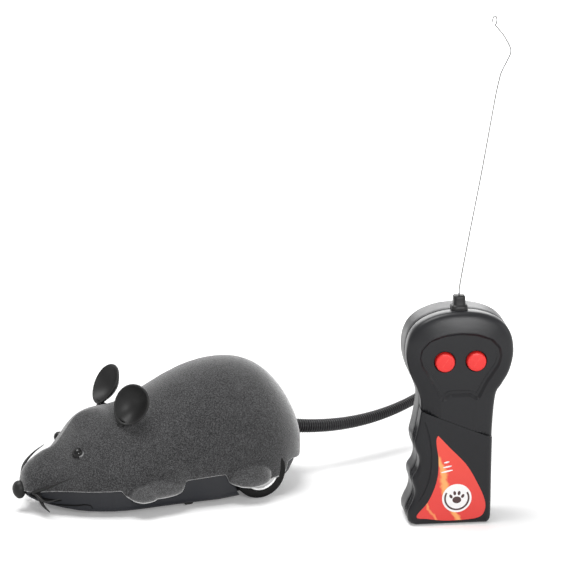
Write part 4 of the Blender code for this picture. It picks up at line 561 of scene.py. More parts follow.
class Groups:
    """Shader node groups that several finishes share."""

    def __init__(self) -> None:
        """Build each group once."""
        self.speckle = self._speckle()
        self.grain = self._grain()
        self.scuffs = self._scuffs()

    @staticmethod
    def _tree(name: str, takes: Sequence[tuple[str, str, object]],
              gives: Sequence[tuple[str, str]]) -> Wiring:
        """An empty group with named inputs and outputs."""
        tree = bpy.data.node_groups.new(name, "ShaderNodeTree")
        for word, kind, value in takes:
            tree.interface.new_socket(word, in_out="INPUT", socket_type=kind).default_value = value
        for word, kind in gives:
            tree.interface.new_socket(word, in_out="OUTPUT", socket_type=kind)
        return Wiring(tree)

    def _speckle(self) -> Tree:
        """Short fibres: light and dark tips, brushed patches and their relief."""
        w = self._tree("FibreSpeckle", [
            ("Dark", "NodeSocketColor", shade(0.05)), ("Light", "NodeSocketColor", shade(0.2)),
            ("Fibre Scale", "NodeSocketFloat", 3000.0), ("Patch Scale", "NodeSocketFloat", 70.0),
            ("Patches", "NodeSocketFloat", 0.3)],
            [("Colour", "NodeSocketColor"), ("Height", "NodeSocketFloat")])
        take, give = w.add("NodeGroupInput"), w.add("NodeGroupOutput")
        place = w.place()
        fine = w.noise(place, take.outputs["Fibre Scale"], 2.0, 0.75)
        coarse = w.noise(place, w.times(take.outputs["Fibre Scale"], 0.5), 2.0, 0.6)
        both = w.plus(w.times(fine, 0.62), w.times(coarse, 0.38))
        tips = w.ramp(both, 0.42, 0.62)
        patch = w.minus(w.noise(place, take.outputs["Patch Scale"], 2.0, 0.5), 0.5)
        share = w.plus(tips, w.times(patch, take.outputs["Patches"]))
        share = w.sums("MINIMUM", w.sums("MAXIMUM", share, 0.0), 1.0)
        w.put(give, Colour=w.mixed(share, take.outputs["Dark"], take.outputs["Light"]), Height=both)
        return w.tree

    def _grain(self) -> Tree:
        """Spark-eroded mould grain as a normal, with a mask of its variation."""
        w = self._tree("MouldGrain", [
            ("Grain Scale", "NodeSocketFloat", 1800.0), ("Depth", "NodeSocketFloat", 0.3),
            ("Waves", "NodeSocketFloat", 0.1)],
            [("Normal", "NodeSocketVector"), ("Mask", "NodeSocketFloat")])
        take, give = w.add("NodeGroupInput"), w.add("NodeGroupOutput")
        place = w.place()
        fine = w.noise(place, take.outputs["Grain Scale"], 3.0, 0.7)
        wave = w.noise(place, 55.0, 1.0, 0.4)
        height = w.plus(fine, w.times(wave, w.times(take.outputs["Waves"], 40.0)))
        bump = w.add("ShaderNodeBump")
        w.put(bump, Strength=take.outputs["Depth"], Distance=0.00012, Height=height)
        w.put(give, Normal=bump.outputs["Normal"], Mask=fine)
        return w.tree

    def _scuffs(self) -> Tree:
        """Sparse hairline scuffs, a little dust and edges rubbed lighter."""
        w = self._tree("Scuffs", [
            ("Colour", "NodeSocketColor", shade(0.05)), ("Worn", "NodeSocketColor", shade(0.2)),
            ("Amount", "NodeSocketFloat", 0.3), ("Roughness", "NodeSocketFloat", 0.5),
            ("Edges", "NodeSocketFloat", 0.7)],
            [("Colour", "NodeSocketColor"), ("Roughness", "NodeSocketFloat")])
        take, give = w.add("NodeGroupInput"), w.add("NodeGroupOutput")
        place = w.place()
        stretch = w.add("ShaderNodeMapping")
        w.put(stretch, Vector=place, Rotation=(0.4, 0.5, 0.3), Scale=(1.0, 9.0, 1.0))
        lines = w.ramp(w.noise(stretch.outputs["Vector"], 160.0, 4.0, 0.7), 0.66, 0.74)
        edge = w.ramp(w.add("ShaderNodeNewGeometry").outputs["Pointiness"], 0.52, 0.60)
        dust = w.ramp(w.noise(place, 900.0, 2.0, 0.5), 0.68, 0.78)
        worn = w.plus(w.times(lines, 0.35), w.times(edge, take.outputs["Edges"]))
        worn = w.plus(worn, w.times(dust, 0.2))
        share = w.sums("MINIMUM", w.times(worn, take.outputs["Amount"]), 1.0)
        cloud = w.times(w.minus(w.noise(place, 120.0, 3.0, 0.6), 0.5), 0.12)
        rough = w.plus(w.plus(take.outputs["Roughness"], cloud), w.times(lines, 0.08))
        w.put(give, Colour=w.mixed(share, take.outputs["Colour"], take.outputs["Worn"]), Roughness=rough)
        return w.tree


@dataclass(frozen=True)
class Finish:
    """What every finish has: a name, the record's slot and its groups."""

    name: str
    slot: str

    def start(self) -> tuple[Material, Wiring, Node]:
        """An empty material with its Principled shader.

        Returns:
            The material, its wiring and the shader.
        """
        material = bpy.data.materials.new(self.name)
        material.use_nodes = True
        wiring = Wiring(material.node_tree)
        return material, wiring, material.node_tree.nodes["Principled BSDF"]

    def build(self, groups: Groups) -> Material:
        """Make the material."""
        raise NotImplementedError


@dataclass(frozen=True)
class Flock(Finish):
    """Short flocked pile: speckled tips, light trimmed hems, a soft sheen."""

    dark: float = 0.008
    light: float = 0.086
    hem: float = 0.50
    hem_attribute: str = "hem"
    foot_attribute: str = "foot"
    foot_share: float = 0.20
    tint: Triple = (1, 1, 1.03)
    pile_strength: float = 0.55
    pile_depth: float = 0.00035
    sheen: float = 0.75
    sheen_roughness: float = 0.48

    def build(self, groups: Groups) -> Material:
        """Make the material."""
        material, w, shader = self.start()
        pile = w.group(groups.speckle, Dark=shade(self.dark, (1, 1, 1.04)),
                       Light=shade(self.light, self.tint), Patches=0.35)
        hem = w.add("ShaderNodeAttribute", attribute_name=self.hem_attribute).outputs["Fac"]
        torn = w.noise(w.place(), 900.0, 3.0, 0.7)
        share = w.ramp(w.times(hem, w.plus(torn, 0.55)), 0.42, 0.8)
        foot = w.add("ShaderNodeAttribute", attribute_name=self.foot_attribute).outputs["Fac"]
        # paler colour low on the feet, where they stand out
        rubbed = w.times(w.times(foot, torn), self.foot_share)
        colour = w.mixed(rubbed, pile.outputs["Colour"], shade(self.hem))
        colour = w.mixed(share, colour, shade(self.hem))
        bump = w.add("ShaderNodeBump")
        w.put(bump, Strength=self.pile_strength, Distance=self.pile_depth, Height=pile.outputs["Height"])
        w.put(shader, Base_Color=colour, Roughness=0.95, Normal=bump.outputs["Normal"],
              Sheen_Weight=self.sheen, Sheen_Roughness=self.sheen_roughness, Sheen_Tint=shade(0.9),
              Specular_IOR_Level=0.2)
        return material


@dataclass(frozen=True)
class Moulded(Finish):
    """Moulded plastic or rubber with grain, scuffs and rubbed edges."""

    colour: Triple = (0.02, 0.02, 0.02)
    worn: Triple = (0.1, 0.1, 0.1)
    roughness: float = 0.4
    wear: float = 0.3
    grain_scale: float = 1800.0
    grain_depth: float = 0.25
    waves: float = 0.05
    coat: float = 0.0
    specular: float = 0.5
    edges: float = 0.7

    def build(self, groups: Groups) -> Material:
        """Make the material."""
        material, w, shader = self.start()
        grain = w.group(groups.grain, Grain_Scale=self.grain_scale, Depth=self.grain_depth, Waves=self.waves)
        scuffs = w.group(groups.scuffs, Colour=(*self.colour, 1), Worn=(*self.worn, 1), Amount=self.wear,
                         Roughness=self.roughness, Edges=self.edges)
        w.put(shader, Base_Color=scuffs.outputs["Colour"], Roughness=scuffs.outputs["Roughness"],
              Normal=grain.outputs["Normal"], Coat_Weight=self.coat, Coat_Roughness=0.12,
              Specular_IOR_Level=self.specular)
        return material


@dataclass(frozen=True)
class Metal(Finish):
    """Bare or plated metal with fine brushing and a few scuffs."""

    colour: Triple = (0.7, 0.7, 0.7)
    roughness: float = 0.3
    wear: float = 0.25
    brushing: float = 0.15
    metallic: float = 1.0

    def build(self, groups: Groups) -> Material:
        """Make the material."""
        material, w, shader = self.start()
        scuffs = w.group(groups.scuffs, Colour=(*self.colour, 1), Worn=shade(0.6, self.colour),
                         Amount=self.wear, Roughness=self.roughness)
        grain = w.group(groups.grain, Grain_Scale=3200.0, Depth=self.brushing, Waves=0.02)
        w.put(shader, Base_Color=scuffs.outputs["Colour"], Roughness=scuffs.outputs["Roughness"],
              Normal=grain.outputs["Normal"], Metallic=self.metallic)
        return material


@dataclass(frozen=True)
class Board(Finish):
    """Green lacquered circuit board with paler copper tracks under it."""

    def build(self, groups: Groups) -> Material:
        """Make the material."""
        material, w, shader = self.start()
        place = w.place()
        brick = w.add("ShaderNodeTexBrick")
        w.put(brick, Vector=place, Scale=260.0, Color1=shade(0.10, (0.2, 1, 0.5)),
              Color2=shade(0.13, (0.2, 1, 0.5)), Mortar=shade(0.26, (0.35, 1, 0.45)), Mortar_Size=0.05)
        grain = w.group(groups.grain, Grain_Scale=2500.0, Depth=0.1)
        w.put(shader, Base_Color=brick.outputs["Color"], Roughness=0.35, Normal=grain.outputs["Normal"],
              Coat_Weight=0.3)
        return material


@dataclass(frozen=True)
class CellSleeve(Finish):
    """Printed shrink sleeve of a plain dry cell, banded along its length."""

    along: Axis = Axis.X
    low: float = 0.0
    high: float = 0.05

    def build(self, groups: Groups) -> Material:
        """Make the material."""
        material, w, shader = self.start()
        place = w.add("ShaderNodeSeparateXYZ")
        w.put(place, Vector=w.place())
        share = w.sums("DIVIDE", w.minus(place.outputs[self.along.value], self.low), self.high - self.low)
        band = w.ramp(share, 0.68, 0.685)
        cap = w.ramp(share, 0.975, 0.98)
        colour = w.mixed(band, shade(0.035, (0.5, 1, 0.8)), shade(0.32, (1, 0.55, 0.2)))
        colour = w.mixed(cap, colour, shade(0.6))
        scuffs = w.group(groups.scuffs, Colour=colour, Worn=shade(0.4), Amount=0.2, Roughness=0.32)
        w.put(shader, Base_Color=scuffs.outputs["Colour"], Roughness=scuffs.outputs["Roughness"],
              Metallic=0.3)
        return material


# The mouse

@dataclass
class MouseBody:
    """The flocked upper body: a skin over cross sections, feet swelling from it.

    Each section row holds its place along the body, the heights of its crown
    and of its widest line, its half width, and the power that makes the flank
    round or hollow. All are shares of length, height and half width.
    """

    site: Site
    length: float = 0.1460124
    nose_reach: float = 0.072
    height: float = 0.0654
    half_width: float = 0.034
    wall: float = 0.0016
    stations: int = 300
    columns: int = 170
    skirt_tuck: float = 0.02
    sections: Rows = (
        (0.000, 0.185, 0.185, 0.000, 1.0), (0.005, 0.285, 0.187, 0.128, 1.0),
        (0.020, 0.345, 0.190, 0.205, 1.0), (0.045, 0.395, 0.194, 0.280, 1.1),
        (0.082, 0.446, 0.200, 0.372, 1.3), (0.123, 0.484, 0.205, 0.510, 1.55),
        (0.160, 0.584, 0.210, 0.640, 1.7), (0.192, 0.676, 0.214, 0.722, 1.7),
        (0.222, 0.714, 0.218, 0.785, 1.5), (0.265, 0.729, 0.226, 0.860, 1.25),
        (0.312, 0.724, 0.238, 0.905, 1.05), (0.360, 0.730, 0.250, 0.922, 1.0),
        (0.415, 0.769, 0.262, 0.926, 1.0), (0.480, 0.842, 0.274, 0.934, 1.0),
        (0.550, 0.918, 0.290, 0.952, 1.0), (0.630, 0.978, 0.308, 0.978, 1.0),
        (0.715, 1.000, 0.322, 1.000, 1.0), (0.795, 0.978, 0.330, 0.985, 1.0),
        (0.862, 0.906, 0.334, 0.905, 1.0), (0.918, 0.782, 0.336, 0.755, 1.0),
        (0.960, 0.626, 0.336, 0.560, 1.0), (0.987, 0.470, 0.336, 0.330, 1.0),
        (0.998, 0.376, 0.336, 0.130, 1.0), (1.000, 0.336, 0.336, 0.000, 1.0))
    hem: Pairs = (
        (-0.05, 0.170), (0.030, 0.172), (0.150, 0.199), (0.286, 0.208), (0.298, 0.168), (0.316, 0.136),
        (0.345, 0.121), (0.488, 0.138), (0.510, 0.228), (0.652, 0.241), (0.664, 0.168), (0.700, 0.140),
        (0.745, 0.130), (0.790, 0.140), (0.868, 0.158), (0.884, 0.178), (0.893, 0.245), (0.915, 0.255),
        (0.960, 0.228), (1.050, 0.226))
    feet: Rows = (
        (0.362, 0.166, 0.925, 0.050, 0.160, 0.076), (0.425, 0.190, 0.890, 0.086, 0.160, 0.078),
        (0.466, 0.275, 0.850, 0.058, 0.130, 0.125), (0.741, 0.194, 0.935, 0.075, 0.205, 0.108))
    foot_blend: float = 0.0011
    skirt_share: float = 0.16
    hem_depth: float = 0.0015
    hem_low: float = 0.168
    hem_faint: float = 0.62

    def along(self, share: Array) -> Array:
        """Places along the mouse from shares of the body's length."""
        return np.asarray(share) * self.length - self.nose_reach

    def spot(self, shares: Sequence[float], side: float = 1.0) -> Array:
        """A place from its shares of length, half width and height."""
        along, out, height = shares
        return np.array([self.along(along), side * out * self.half_width, height * self.height])

    def section_values(self, share: Array) -> Array:
        """The section table read smoothly at any places along the body.

        The tip and the rump are round, so the table is first taken over the
        angle a with share = (1 - cos a) / 2, in which both ends are smooth.

        Args:
            share: Shares of the body's length.

        Returns:
            Rows of crown, widest line, half width and power.
        """
        table = np.array(self.sections)
        knots = np.arccos(1 - 2 * table[:, 0])
        dense = smooth_curve(np.column_stack([knots, table[:, 1:]]), 900)
        angle = np.arccos(1 - 2 * np.clip(share, 0, 1))
        return np.stack([np.interp(angle, dense[:, 0], column) for column in dense.T[1:]], -1)

    def hem_height(self, x: Array) -> Array:
        """Height of the lower edge at places along the mouse."""
        table = np.array(self.hem)
        share = (np.asarray(x) + self.nose_reach) / self.length
        near = [np.interp(share + shift, table[:, 0], table[:, 1]) for shift in np.linspace(-0.004, 0.004, 5)]
        return np.mean(near, axis=0) * self.height

    def foot_reach(self, x: Array, z: Array) -> Array:
        """How far out the feet reach at a place seen from the side.

        Each foot is an ellipsoid; its reach there is its middle's distance
        plus its half width times sqrt(1 - dx ** 2 - dz ** 2).

        Args:
            x: Places along the mouse.
            z: Heights there.

        Returns:
            The reach in metres, or -1 where no foot is.
        """
        reach = np.full(np.broadcast_shapes(x.shape, z.shape), -1.0)
        for place, height, out, length, width, rise in self.feet:
            dx = (x - self.along(place)) / (length * self.length)
            dz = (z - height * self.height) / (rise * self.height)
            inside = 1 - dx ** 2 - dz ** 2
            one = out * self.half_width + width * self.half_width * np.sqrt(np.maximum(inside, 0))
            reach = np.maximum(reach, np.where(inside > 0, one, -1.0))
        return reach

    def skin_points(self) -> Array:
        """The skin on a grid of stations along the body and steps round it.

        A column runs from the near hem over the back to the far hem. With t
        from 0 at the hem to 1 at the crown and k the skirt's share of it, the
        skirt is straight up to the widest line, and above that
        y = half cos(a) ** power, z = middle + rise sin(a), where a goes from
        0 to a right angle. Feet are then blended in by the larger reach.
        """
        angle = np.linspace(0, math.pi, self.stations)
        share = (1 - np.cos(angle)) / 2
        crown, widest, half, power = (column[:, None] for column in self.section_values(share).T)
        x = self.along(share)[:, None]
        t = 1 - np.abs(np.linspace(-1, 1, self.columns))[None, :]
        skirt = np.minimum(t / self.skirt_share, 1)
        a = np.maximum((t - self.skirt_share) / (1 - self.skirt_share), 0) * math.pi / 2
        middle = widest * self.height
        hem = np.minimum(self.hem_height(x), middle)
        tuck = 1 - self.skirt_tuck * (1 - skirt) ** 2
        y = half * self.half_width * np.maximum(np.cos(a), 0) ** power * tuck
        z = hem + (middle - hem) * skirt + (crown - widest) * self.height * np.sin(a)
        reach = self.foot_reach(x, z)
        y = np.where(reach > 0, soft_max(y, np.maximum(reach, 0), self.foot_blend), y)
        sign = np.sign(np.linspace(-1, 1, self.columns))[None, :]
        return np.stack([np.broadcast_to(x, y.shape), y * sign, z], -1)

    def hem_share(self, places: Array) -> Array:
        """How much the trimmed lower edge shows at each place.

        It is 1 on the edge and 0 from a little above it, and away from the
        feet only a part of that.

        Args:
            places: Points of the shell in the frame.

        Returns:
            The share at each of them.
        """
        local = places - self.site.mouse
        edge = self.hem_height(local[:, 0])
        low = np.clip((self.hem_low - edge / self.height) / 0.02, 0, 1)
        near = np.clip(1 - (local[:, 2] - edge) / self.hem_depth, 0, 1)
        return near * (self.hem_faint + (1 - self.hem_faint) * low)

    def foot_share(self, places: Array) -> Array:
        """How much the pile is made paler on the feet.

        It is 1 low on a foot, falls with the height, and falls towards the
        foot's rim with how far the foot stands out there.

        Args:
            places: Points of the shell in the frame.

        Returns:
            The share at each of them.
        """
        local = places - self.site.mouse
        reach = self.foot_reach(local[:, 0], local[:, 2])
        proud = np.clip((reach / self.half_width - 0.93) / 0.10, 0, 1)
        low = np.clip((0.28 - local[:, 2] / self.height) / 0.14, 0, 1)
        return proud * low * (np.abs(local[:, 1]) > reach - 0.001)

    def build(self) -> Piece:
        """The shell with its wall, its lower edge and the two masks of its pile."""
        shell = grid("flocked_shell", self.site.on_mouse(self.skin_points()), round_columns=False)
        wall = shell.modifiers.new("wall", "SOLIDIFY")
        wall.thickness, wall.offset = self.wall, -1
        finish_mesh(shell)
        add_value(shell, "hem", self.hem_share)
        add_value(shell, "foot", self.foot_share)
        return shell


@dataclass
class Face:
    """Nose, eyes and whiskers."""

    site: Site
    body: MouseBody
    nose_radii: Triple = (0.0038, 0.0041, 0.0046)
    nose_height_share: float = 0.166
    nose_taper: float = 0.20
    cleft_depth: float = 0.00022
    cleft_width: float = 0.0005
    eye_radius: float = 0.0028
    eye_shares: Triple = (0.172, 0.400, 0.463)
    whisker_steps: int = 60
    whiskers: tuple[tuple[Triple, ...], ...] = (
        ((0.030, 0.200, 0.172), (0.036, 0.250, 0.180), (0.076, 0.440, 0.242), (0.130, 0.650, 0.326)),
        ((0.028, 0.200, 0.168), (0.034, 0.250, 0.160), (0.050, 0.450, 0.130), (0.084, 0.700, 0.184)),
        ((0.040, 0.200, 0.170), (0.042, 0.250, 0.155), (0.050, 0.345, 0.084), (0.068, 0.425, 0.034)))
    whisker_widths: Triple = (0.00130, 0.00115, 0.00170)
    raised_whisker: tuple[Triple, ...] = (
        (0.012, 0.080, 0.165), (0.022, 0.200, 0.245), (0.042, 0.340, 0.302), (0.085, 0.500, 0.345),
        (0.139, 0.660, 0.372))
    lid_width: float = 0.00042
    lid_inset: float = 0.0003
    lid_shift: tuple[float, float] = (-0.0006, 0.0016)
    lid_angles: tuple[float, float] = (-140, -5)
    lid_steps: int = 40

    def nose(self) -> Piece:
        """The nose: a ball a little narrower at its lower end.

        The ball's points (x, y, z) are drawn in across by
        1 - taper (1 - z / r) / 2, and a cleft of depth exp(-(y / width) ** 2)
        runs down its front.
        """
        middle = np.array([-self.body.nose_reach - 0.0007, 0, self.nose_height_share * self.body.height])
        nose = ball("nose_ball", (0, 0, 0), self.nose_radii, rows=56, columns=80)

        def shaped(places: Array) -> Array:
            """The ball drawn in below, with its cleft, in its place."""
            up = places[:, 2:3] / self.nose_radii[2]
            front = places[:, :1] < 0
            cleft = self.cleft_depth * np.exp(-(places[:, 1:2] / self.cleft_width) ** 2) * front
            places[:, :2] *= 1 - self.nose_taper * (1 - up) / 2
            places[:, :1] += cleft
            return places + self.site.on_mouse(middle)

        return moved(nose, shaped)

    def eye(self, side: Side) -> Piece:
        """A bead set in the flank of the head."""
        middle = self.site.on_mouse(self.body.spot(self.eye_shares, side.value))
        return ball(f"eye_bead_{side.word}", middle, [self.eye_radius] * 3)

    def lid(self, side: Side, shell: Piece) -> Piece:
        """A pale crescent under the bead, laid on the pile parted there.

        Its middle line is an arc of the bead's size, cast sideways onto the
        shell, and its radius is width sin(t) ** 0.7 with t from 0 to pi.

        Args:
            side: The side of the head.
            shell: The shell that it lies on.

        Returns:
            The lid.
        """
        along, _, height = self.eye_shares
        count, (start, end), (ahead, above) = self.lid_steps, self.lid_angles, self.lid_shift
        angle = np.radians(np.linspace(start, end, count))
        reach = self.eye_radius - self.lid_inset
        x = self.body.along(along) + ahead + reach * np.cos(angle)
        z = height * self.body.height + above + reach * np.sin(angle)
        far = np.full(count, side.value * FAR_OUT)
        path = np.array([on_skin(shell, spot, (0, -side.value, 0)) for spot in
                         self.site.on_mouse(np.column_stack([x, far, z]))])
        radii = self.lid_width * np.sin(np.linspace(0.08, math.pi - 0.08, count)) ** 0.7
        return tube(f"eye_lid_{side.word}", path, radii, 14, (0, 1, 0))

    def whisker_set(self, side: Side) -> list[Piece]:
        """Three tapered, flattened rubber whiskers of one side.

        Args:
            side: The side; the upper whisker of the right one is bent upward.

        Returns:
            The whiskers, from the upper to the lower.
        """
        made = []
        shapes = self.whiskers if side is Side.LEFT else (self.raised_whisker, *self.whiskers[1:])
        for number, (knots, width) in enumerate(zip(shapes, self.whisker_widths), 1):
            rows = np.array([self.body.spot(knot, side.value) for knot in knots])
            path = even_curve(smooth_curve(rows, 200), self.whisker_steps)
            t = np.linspace(0, 1, self.whisker_steps)
            radii = width * (1 - 0.85 * t) * np.sqrt(np.clip((1 - t) / 0.03, 0.05, 1))
            name = f"whisker_{side.word}_{number}"
            made.append(tube(name, self.site.on_mouse(path), radii, 20, (0, 0, 1), flat=0.75))
        return made


@dataclass
class Ears:
    """Two cupped rubber ears leaning back, each on its peg."""

    site: Site
    body: MouseBody
    height: float = 0.0200
    width: float = 0.0180
    wall: float = 0.0012
    cup_share: float = 0.27
    foot_shares: Triple = (0.325, 0.462, 0.668)
    lean: float = math.radians(30)
    splay: float = math.radians(8)
    turns: tuple[float, float] = (math.radians(40), math.radians(-14))
    peg_depth: float = 0.005
    peg_length: float = 0.0068
    peg_radius: float = 0.0018
    peg_flare: float = 0.0012
    rings: int = 26
    sides: int = 96

    def axes(self, side: Side) -> tuple[Array, Array]:
        """Foot of an ear and its turning matrix."""
        foot = self.body.spot(self.foot_shares, side.value)
        turn = Matrix.Rotation(-side.value * self.turns[side is Side.RIGHT], 3, "Z")
        lean = Matrix.Rotation(self.lean, 3, "Y")
        splay = Matrix.Rotation(-side.value * self.splay, 3, "X")
        return foot, np.array(splay @ lean @ turn)

    def place(self, side: Side, across: Array, up: Array, front: Array) -> Array:
        """Points of an ear in the frame from across, up and front."""
        foot, matrix = self.axes(side)
        local = np.stack(np.broadcast_arrays(-front, side.value * across, up), -1)
        return self.site.on_mouse(foot + local @ matrix.T)

    def cup(self, side: Side) -> Piece:
        """The cup of one ear.

        With s from the middle of the dish to its rim and b round it, the
        inner face lies depth (s ** 2 - 1/2) to the front, the outer face one
        wall behind, and a half circle of the wall's size joins them.

        Args:
            side: The side of the head.

        Returns:
            The cup.
        """
        b = whole_turn(self.sides)[None, :]
        s = np.linspace(0.0, 1, self.rings)[:, None]
        bend = np.linspace(0, math.pi, 9)[1:-1, None]
        share = np.vstack([s, 1 + self.wall / 2 * np.sin(bend) / (self.width / 2), s[::-1]])
        behind = np.vstack([0 * s, self.wall / 2 * (1 - np.cos(bend)), 0 * s + self.wall])
        narrow = 1 - 0.16 * (1 - np.sin(b)) / 2
        across = self.width / 2 * share * narrow * np.cos(b)
        up = self.height / 2 * (1 + share * np.sin(b)) + 0.0003
        front = self.cup_share * self.height * (np.minimum(share, 1) ** 2 - 0.5) - behind + 0 * b
        return grid(f"ear_cup_{side.word}", self.place(side, across, up, front))

    def peg(self, side: Side) -> Piece:
        """The round peg under an ear, flared where it meets the cup."""
        t = np.linspace(0, 1, 24)
        path = self.place(side, 0 * t, -self.peg_depth + t * self.peg_length, 0 * t - 0.0004)
        radii = self.peg_radius + self.peg_flare * np.clip((t - 0.6) / 0.4, 0, 1) ** 2
        return tube(f"ear_foot_{side.word}", path, radii, 40, (0, 1, 0))


@dataclass
class Tail:
    """The flexible tail: fine ribs along a curve that droops and sweeps aside."""

    site: Site
    root: Triple = (0.0740124, 0.0, 0.0243288)
    length: float = 0.098
    radius: float = 0.0036
    tip_radius: float = 0.0023
    rib_pitch: float = 0.0013
    rib_depth: float = 0.00090
    per_rib: int = 12
    sunk: float = 0.0042
    sides: int = 48
    sag: float = 0.188
    rise: float = 0.251
    sweep: float = 0.240

    def route(self, lengths: Array) -> Array:
        """Middle line of the tail at lengths from the rump.

        The slope at a share s of the length is (1, 2 sweep s, -sag + 2 rise s),
        made a unit long and added up. Ahead of the rump it runs straight.

        Args:
            lengths: Lengths along the tail, less than nought inside the rump.

        Returns:
            The points in the mouse's own coordinates.
        """
        steps = 800
        share = (np.arange(steps) + 0.5) / steps
        slope = np.stack([np.ones(steps), 2 * self.sweep * share, -self.sag + 2 * self.rise * share], 1)
        slope *= self.length / steps / np.linalg.norm(slope, axis=1, keepdims=True)
        line = np.vstack([np.zeros(3), np.cumsum(slope, 0)])
        at = np.linspace(0, self.length, steps + 1)
        points = np.stack([np.interp(np.maximum(lengths, 0), at, column) for column in line.T], -1)
        points[:, 0] += np.minimum(lengths, 0)
        return points + np.array(self.root)

    def build(self) -> Piece:
        """The ribbed tail.

        The radius falls evenly to the tip, and each rib stands proud by
        depth * |sin| ** 0.7 of its place in the pitch, so the grooves between
        the ribs are narrow.
        """
        count = int(self.length / self.rib_pitch * self.per_rib)
        lengths = np.concatenate([np.linspace(-self.sunk, 0, 12)[:-1], np.linspace(0, self.length, count)])
        phase = np.abs(np.sin(math.pi * np.maximum(lengths, 0) / self.rib_pitch)) ** 0.7
        body = self.radius + (self.tip_radius - self.radius) * np.clip(lengths / self.length, 0, 1)
        radii = body - self.rib_depth * (1 - phase) * (body / self.radius)
        left = np.clip((self.length - lengths) / self.tip_radius, 0, 1)
        radii *= np.sqrt(np.clip(1 - (1 - left) ** 2, 0.02, 1))
        return tube("ribbed_tail", self.site.on_mouse(self.route(lengths)), radii, self.sides, (0, 0, 1))


@dataclass
class Wheel:
    """One rear wheel: a bright dished hub disc and a tyre with fine ridges."""

    site: Site
    side: Side
    axle: tuple[float, float] = (0.0426124, 0.0135)
    inner: float = 0.025
    outer: float = 0.031
    tyre_radius: float = 0.0135
    tyre_wall: float = 0.0040
    dish: float = 0.0014
    boss: float = 0.0033
    bore: float = 0.0015
    seat: float = 0.0003
    ridges: int = 7
    ridge_depth: float = 0.00045

    def middle(self) -> Array:
        """Middle of the axle in the frame."""
        return self.site.on_mouse(np.array([self.axle[0], 0.0, self.axle[1]]))

    def mirrored(self, profile: Array) -> Array:
        """The profile on this wheel's side of the mouse."""
        return profile * np.array([self.side.value, 1])

    def hub(self) -> Piece:
        """The hub: rim bead, dish, boss and a domed cap on the axle."""
        rim = self.tyre_radius - self.tyre_wall - 0.00025
        out, dish = self.outer - 0.0001, self.dish
        back, hole, boss = self.inner + self.seat, self.bore + 0.0001, self.boss
        corners = [(back, hole, 0), (back, rim, 0.0003), (out, rim, 0.0004), (out, rim - 0.0009, 0.0003),
                   (out - dish, rim - 0.0021, 0.0008), (out - dish, boss + 0.0004, 0.0005),
                   (out - 0.0003, boss - 0.0004, 0.0004), (out - 0.0003, hole, 0)]
        profile = self.mirrored(rounded_profile(corners))
        return turned(f"hub_disc_{self.side.word}", profile, self.middle(), Axis.Y, ring=True)

    def tyre(self) -> Piece:
        """The tyre: a rounded ring whose tread carries ridges round it.

        Across the tread, the radius rises and falls by depth cos(2 pi n t).
        """
        t = np.linspace(0, 1, self.ridges * 10)
        wave = self.ridge_depth * (1 - np.cos(2 * math.pi * self.ridges * t)) / 2
        shoulder = 0.0006 * (np.abs(2 * t - 1) ** 8)
        tread = np.stack([self.inner + self.seat + (self.outer - self.inner - 2 * self.seat) * t,
                          self.tyre_radius - wave - shoulder], -1)
        inside = self.tyre_radius - self.tyre_wall
        out, tread_top = self.outer, self.tyre_radius
        side = rounded_profile([(out - 0.0002, tread_top - 0.0009, 0), (out, tread_top - 0.0018, 0.0006),
                                (out - 0.0002, inside + 0.0006, 0.0004), (out - 0.0006, inside, 0)])
        back = side[::-1].copy()
        back[:, 0] = self.inner + self.outer - back[:, 0]
        profile = self.mirrored(np.vstack([tread, side, back]))
        return turned(f"tyre_ring_{self.side.word}", profile, self.middle(), Axis.Y, sides=120, ring=True)

    def build(self, looks: "Looks") -> None:
        """Make both pieces and let them turn with the axle."""
        looks.dress(self.hub(), "chrome", f"wheel_hub_{self.side.word}", "rear_wheels")
        looks.dress(self.tyre(), "tyre", f"tyre_{self.side.word}", "rear_wheels")


# The remote control

def drawn_in(outline: Array, inset: float, step: float = 0.00025) -> Array:
    """A closed anticlockwise outline of (x, z) moved inward by inset.

    It moves by a small step at a time, and its points are spread evenly
    again after each, so that narrow hollows never cross themselves.

    Args:
        outline: The outline.
        inset: How far it moves, outward if less than nought.
        step: The longest step.

    Returns:
        As many points as the outline has.
    """
    points, steps = outline, max(1, round(abs(inset) / step))
    for _ in range(steps if inset else 0):
        way = np.roll(points, -1, 0) - np.roll(points, 1, 0)
        way /= np.linalg.norm(way, axis=1, keepdims=True)
        points = points + np.stack([-way[:, 1], way[:, 0]], -1) * inset / steps
        points = even_ring(points, len(points))
    return points


def block(name: str, outline: Array, profile: Sequence[tuple[float, float]]) -> Piece:
    """A block over an outline in x and z, standing along y.

    Args:
        name: The piece's name.
        outline: Closed anticlockwise outline.
        profile: Rows of inset and y, one ring each, with rising insets.

    Returns:
        The block, closed at both ends.
    """
    rings, now, ring = [], 0.0, outline
    for inset, y in profile:
        ring, now = drawn_in(ring, inset - now), inset
        rings.append(upright(ring, y))
    return grid(name, np.array(rings), caps=True)


def plate(name: str, outline: Array, y: float, thickness: float = 0.00004) -> Piece:
    """A thin flat print over an outline, its face towards -y."""
    return block(name, outline, [(0.0, y), (0.0, y - thickness)])


def ellipse(x: float, z: float, half_x: float, half_z: float, lean: float = 0.0, count: int = 96) -> Array:
    """An elliptic outline turned by lean."""
    a = whole_turn(count)
    across, up = half_x * np.cos(a), half_z * np.sin(a)
    return np.stack([x + across * math.cos(lean) - up * math.sin(lean),
                     z + across * math.sin(lean) + up * math.cos(lean)], -1)


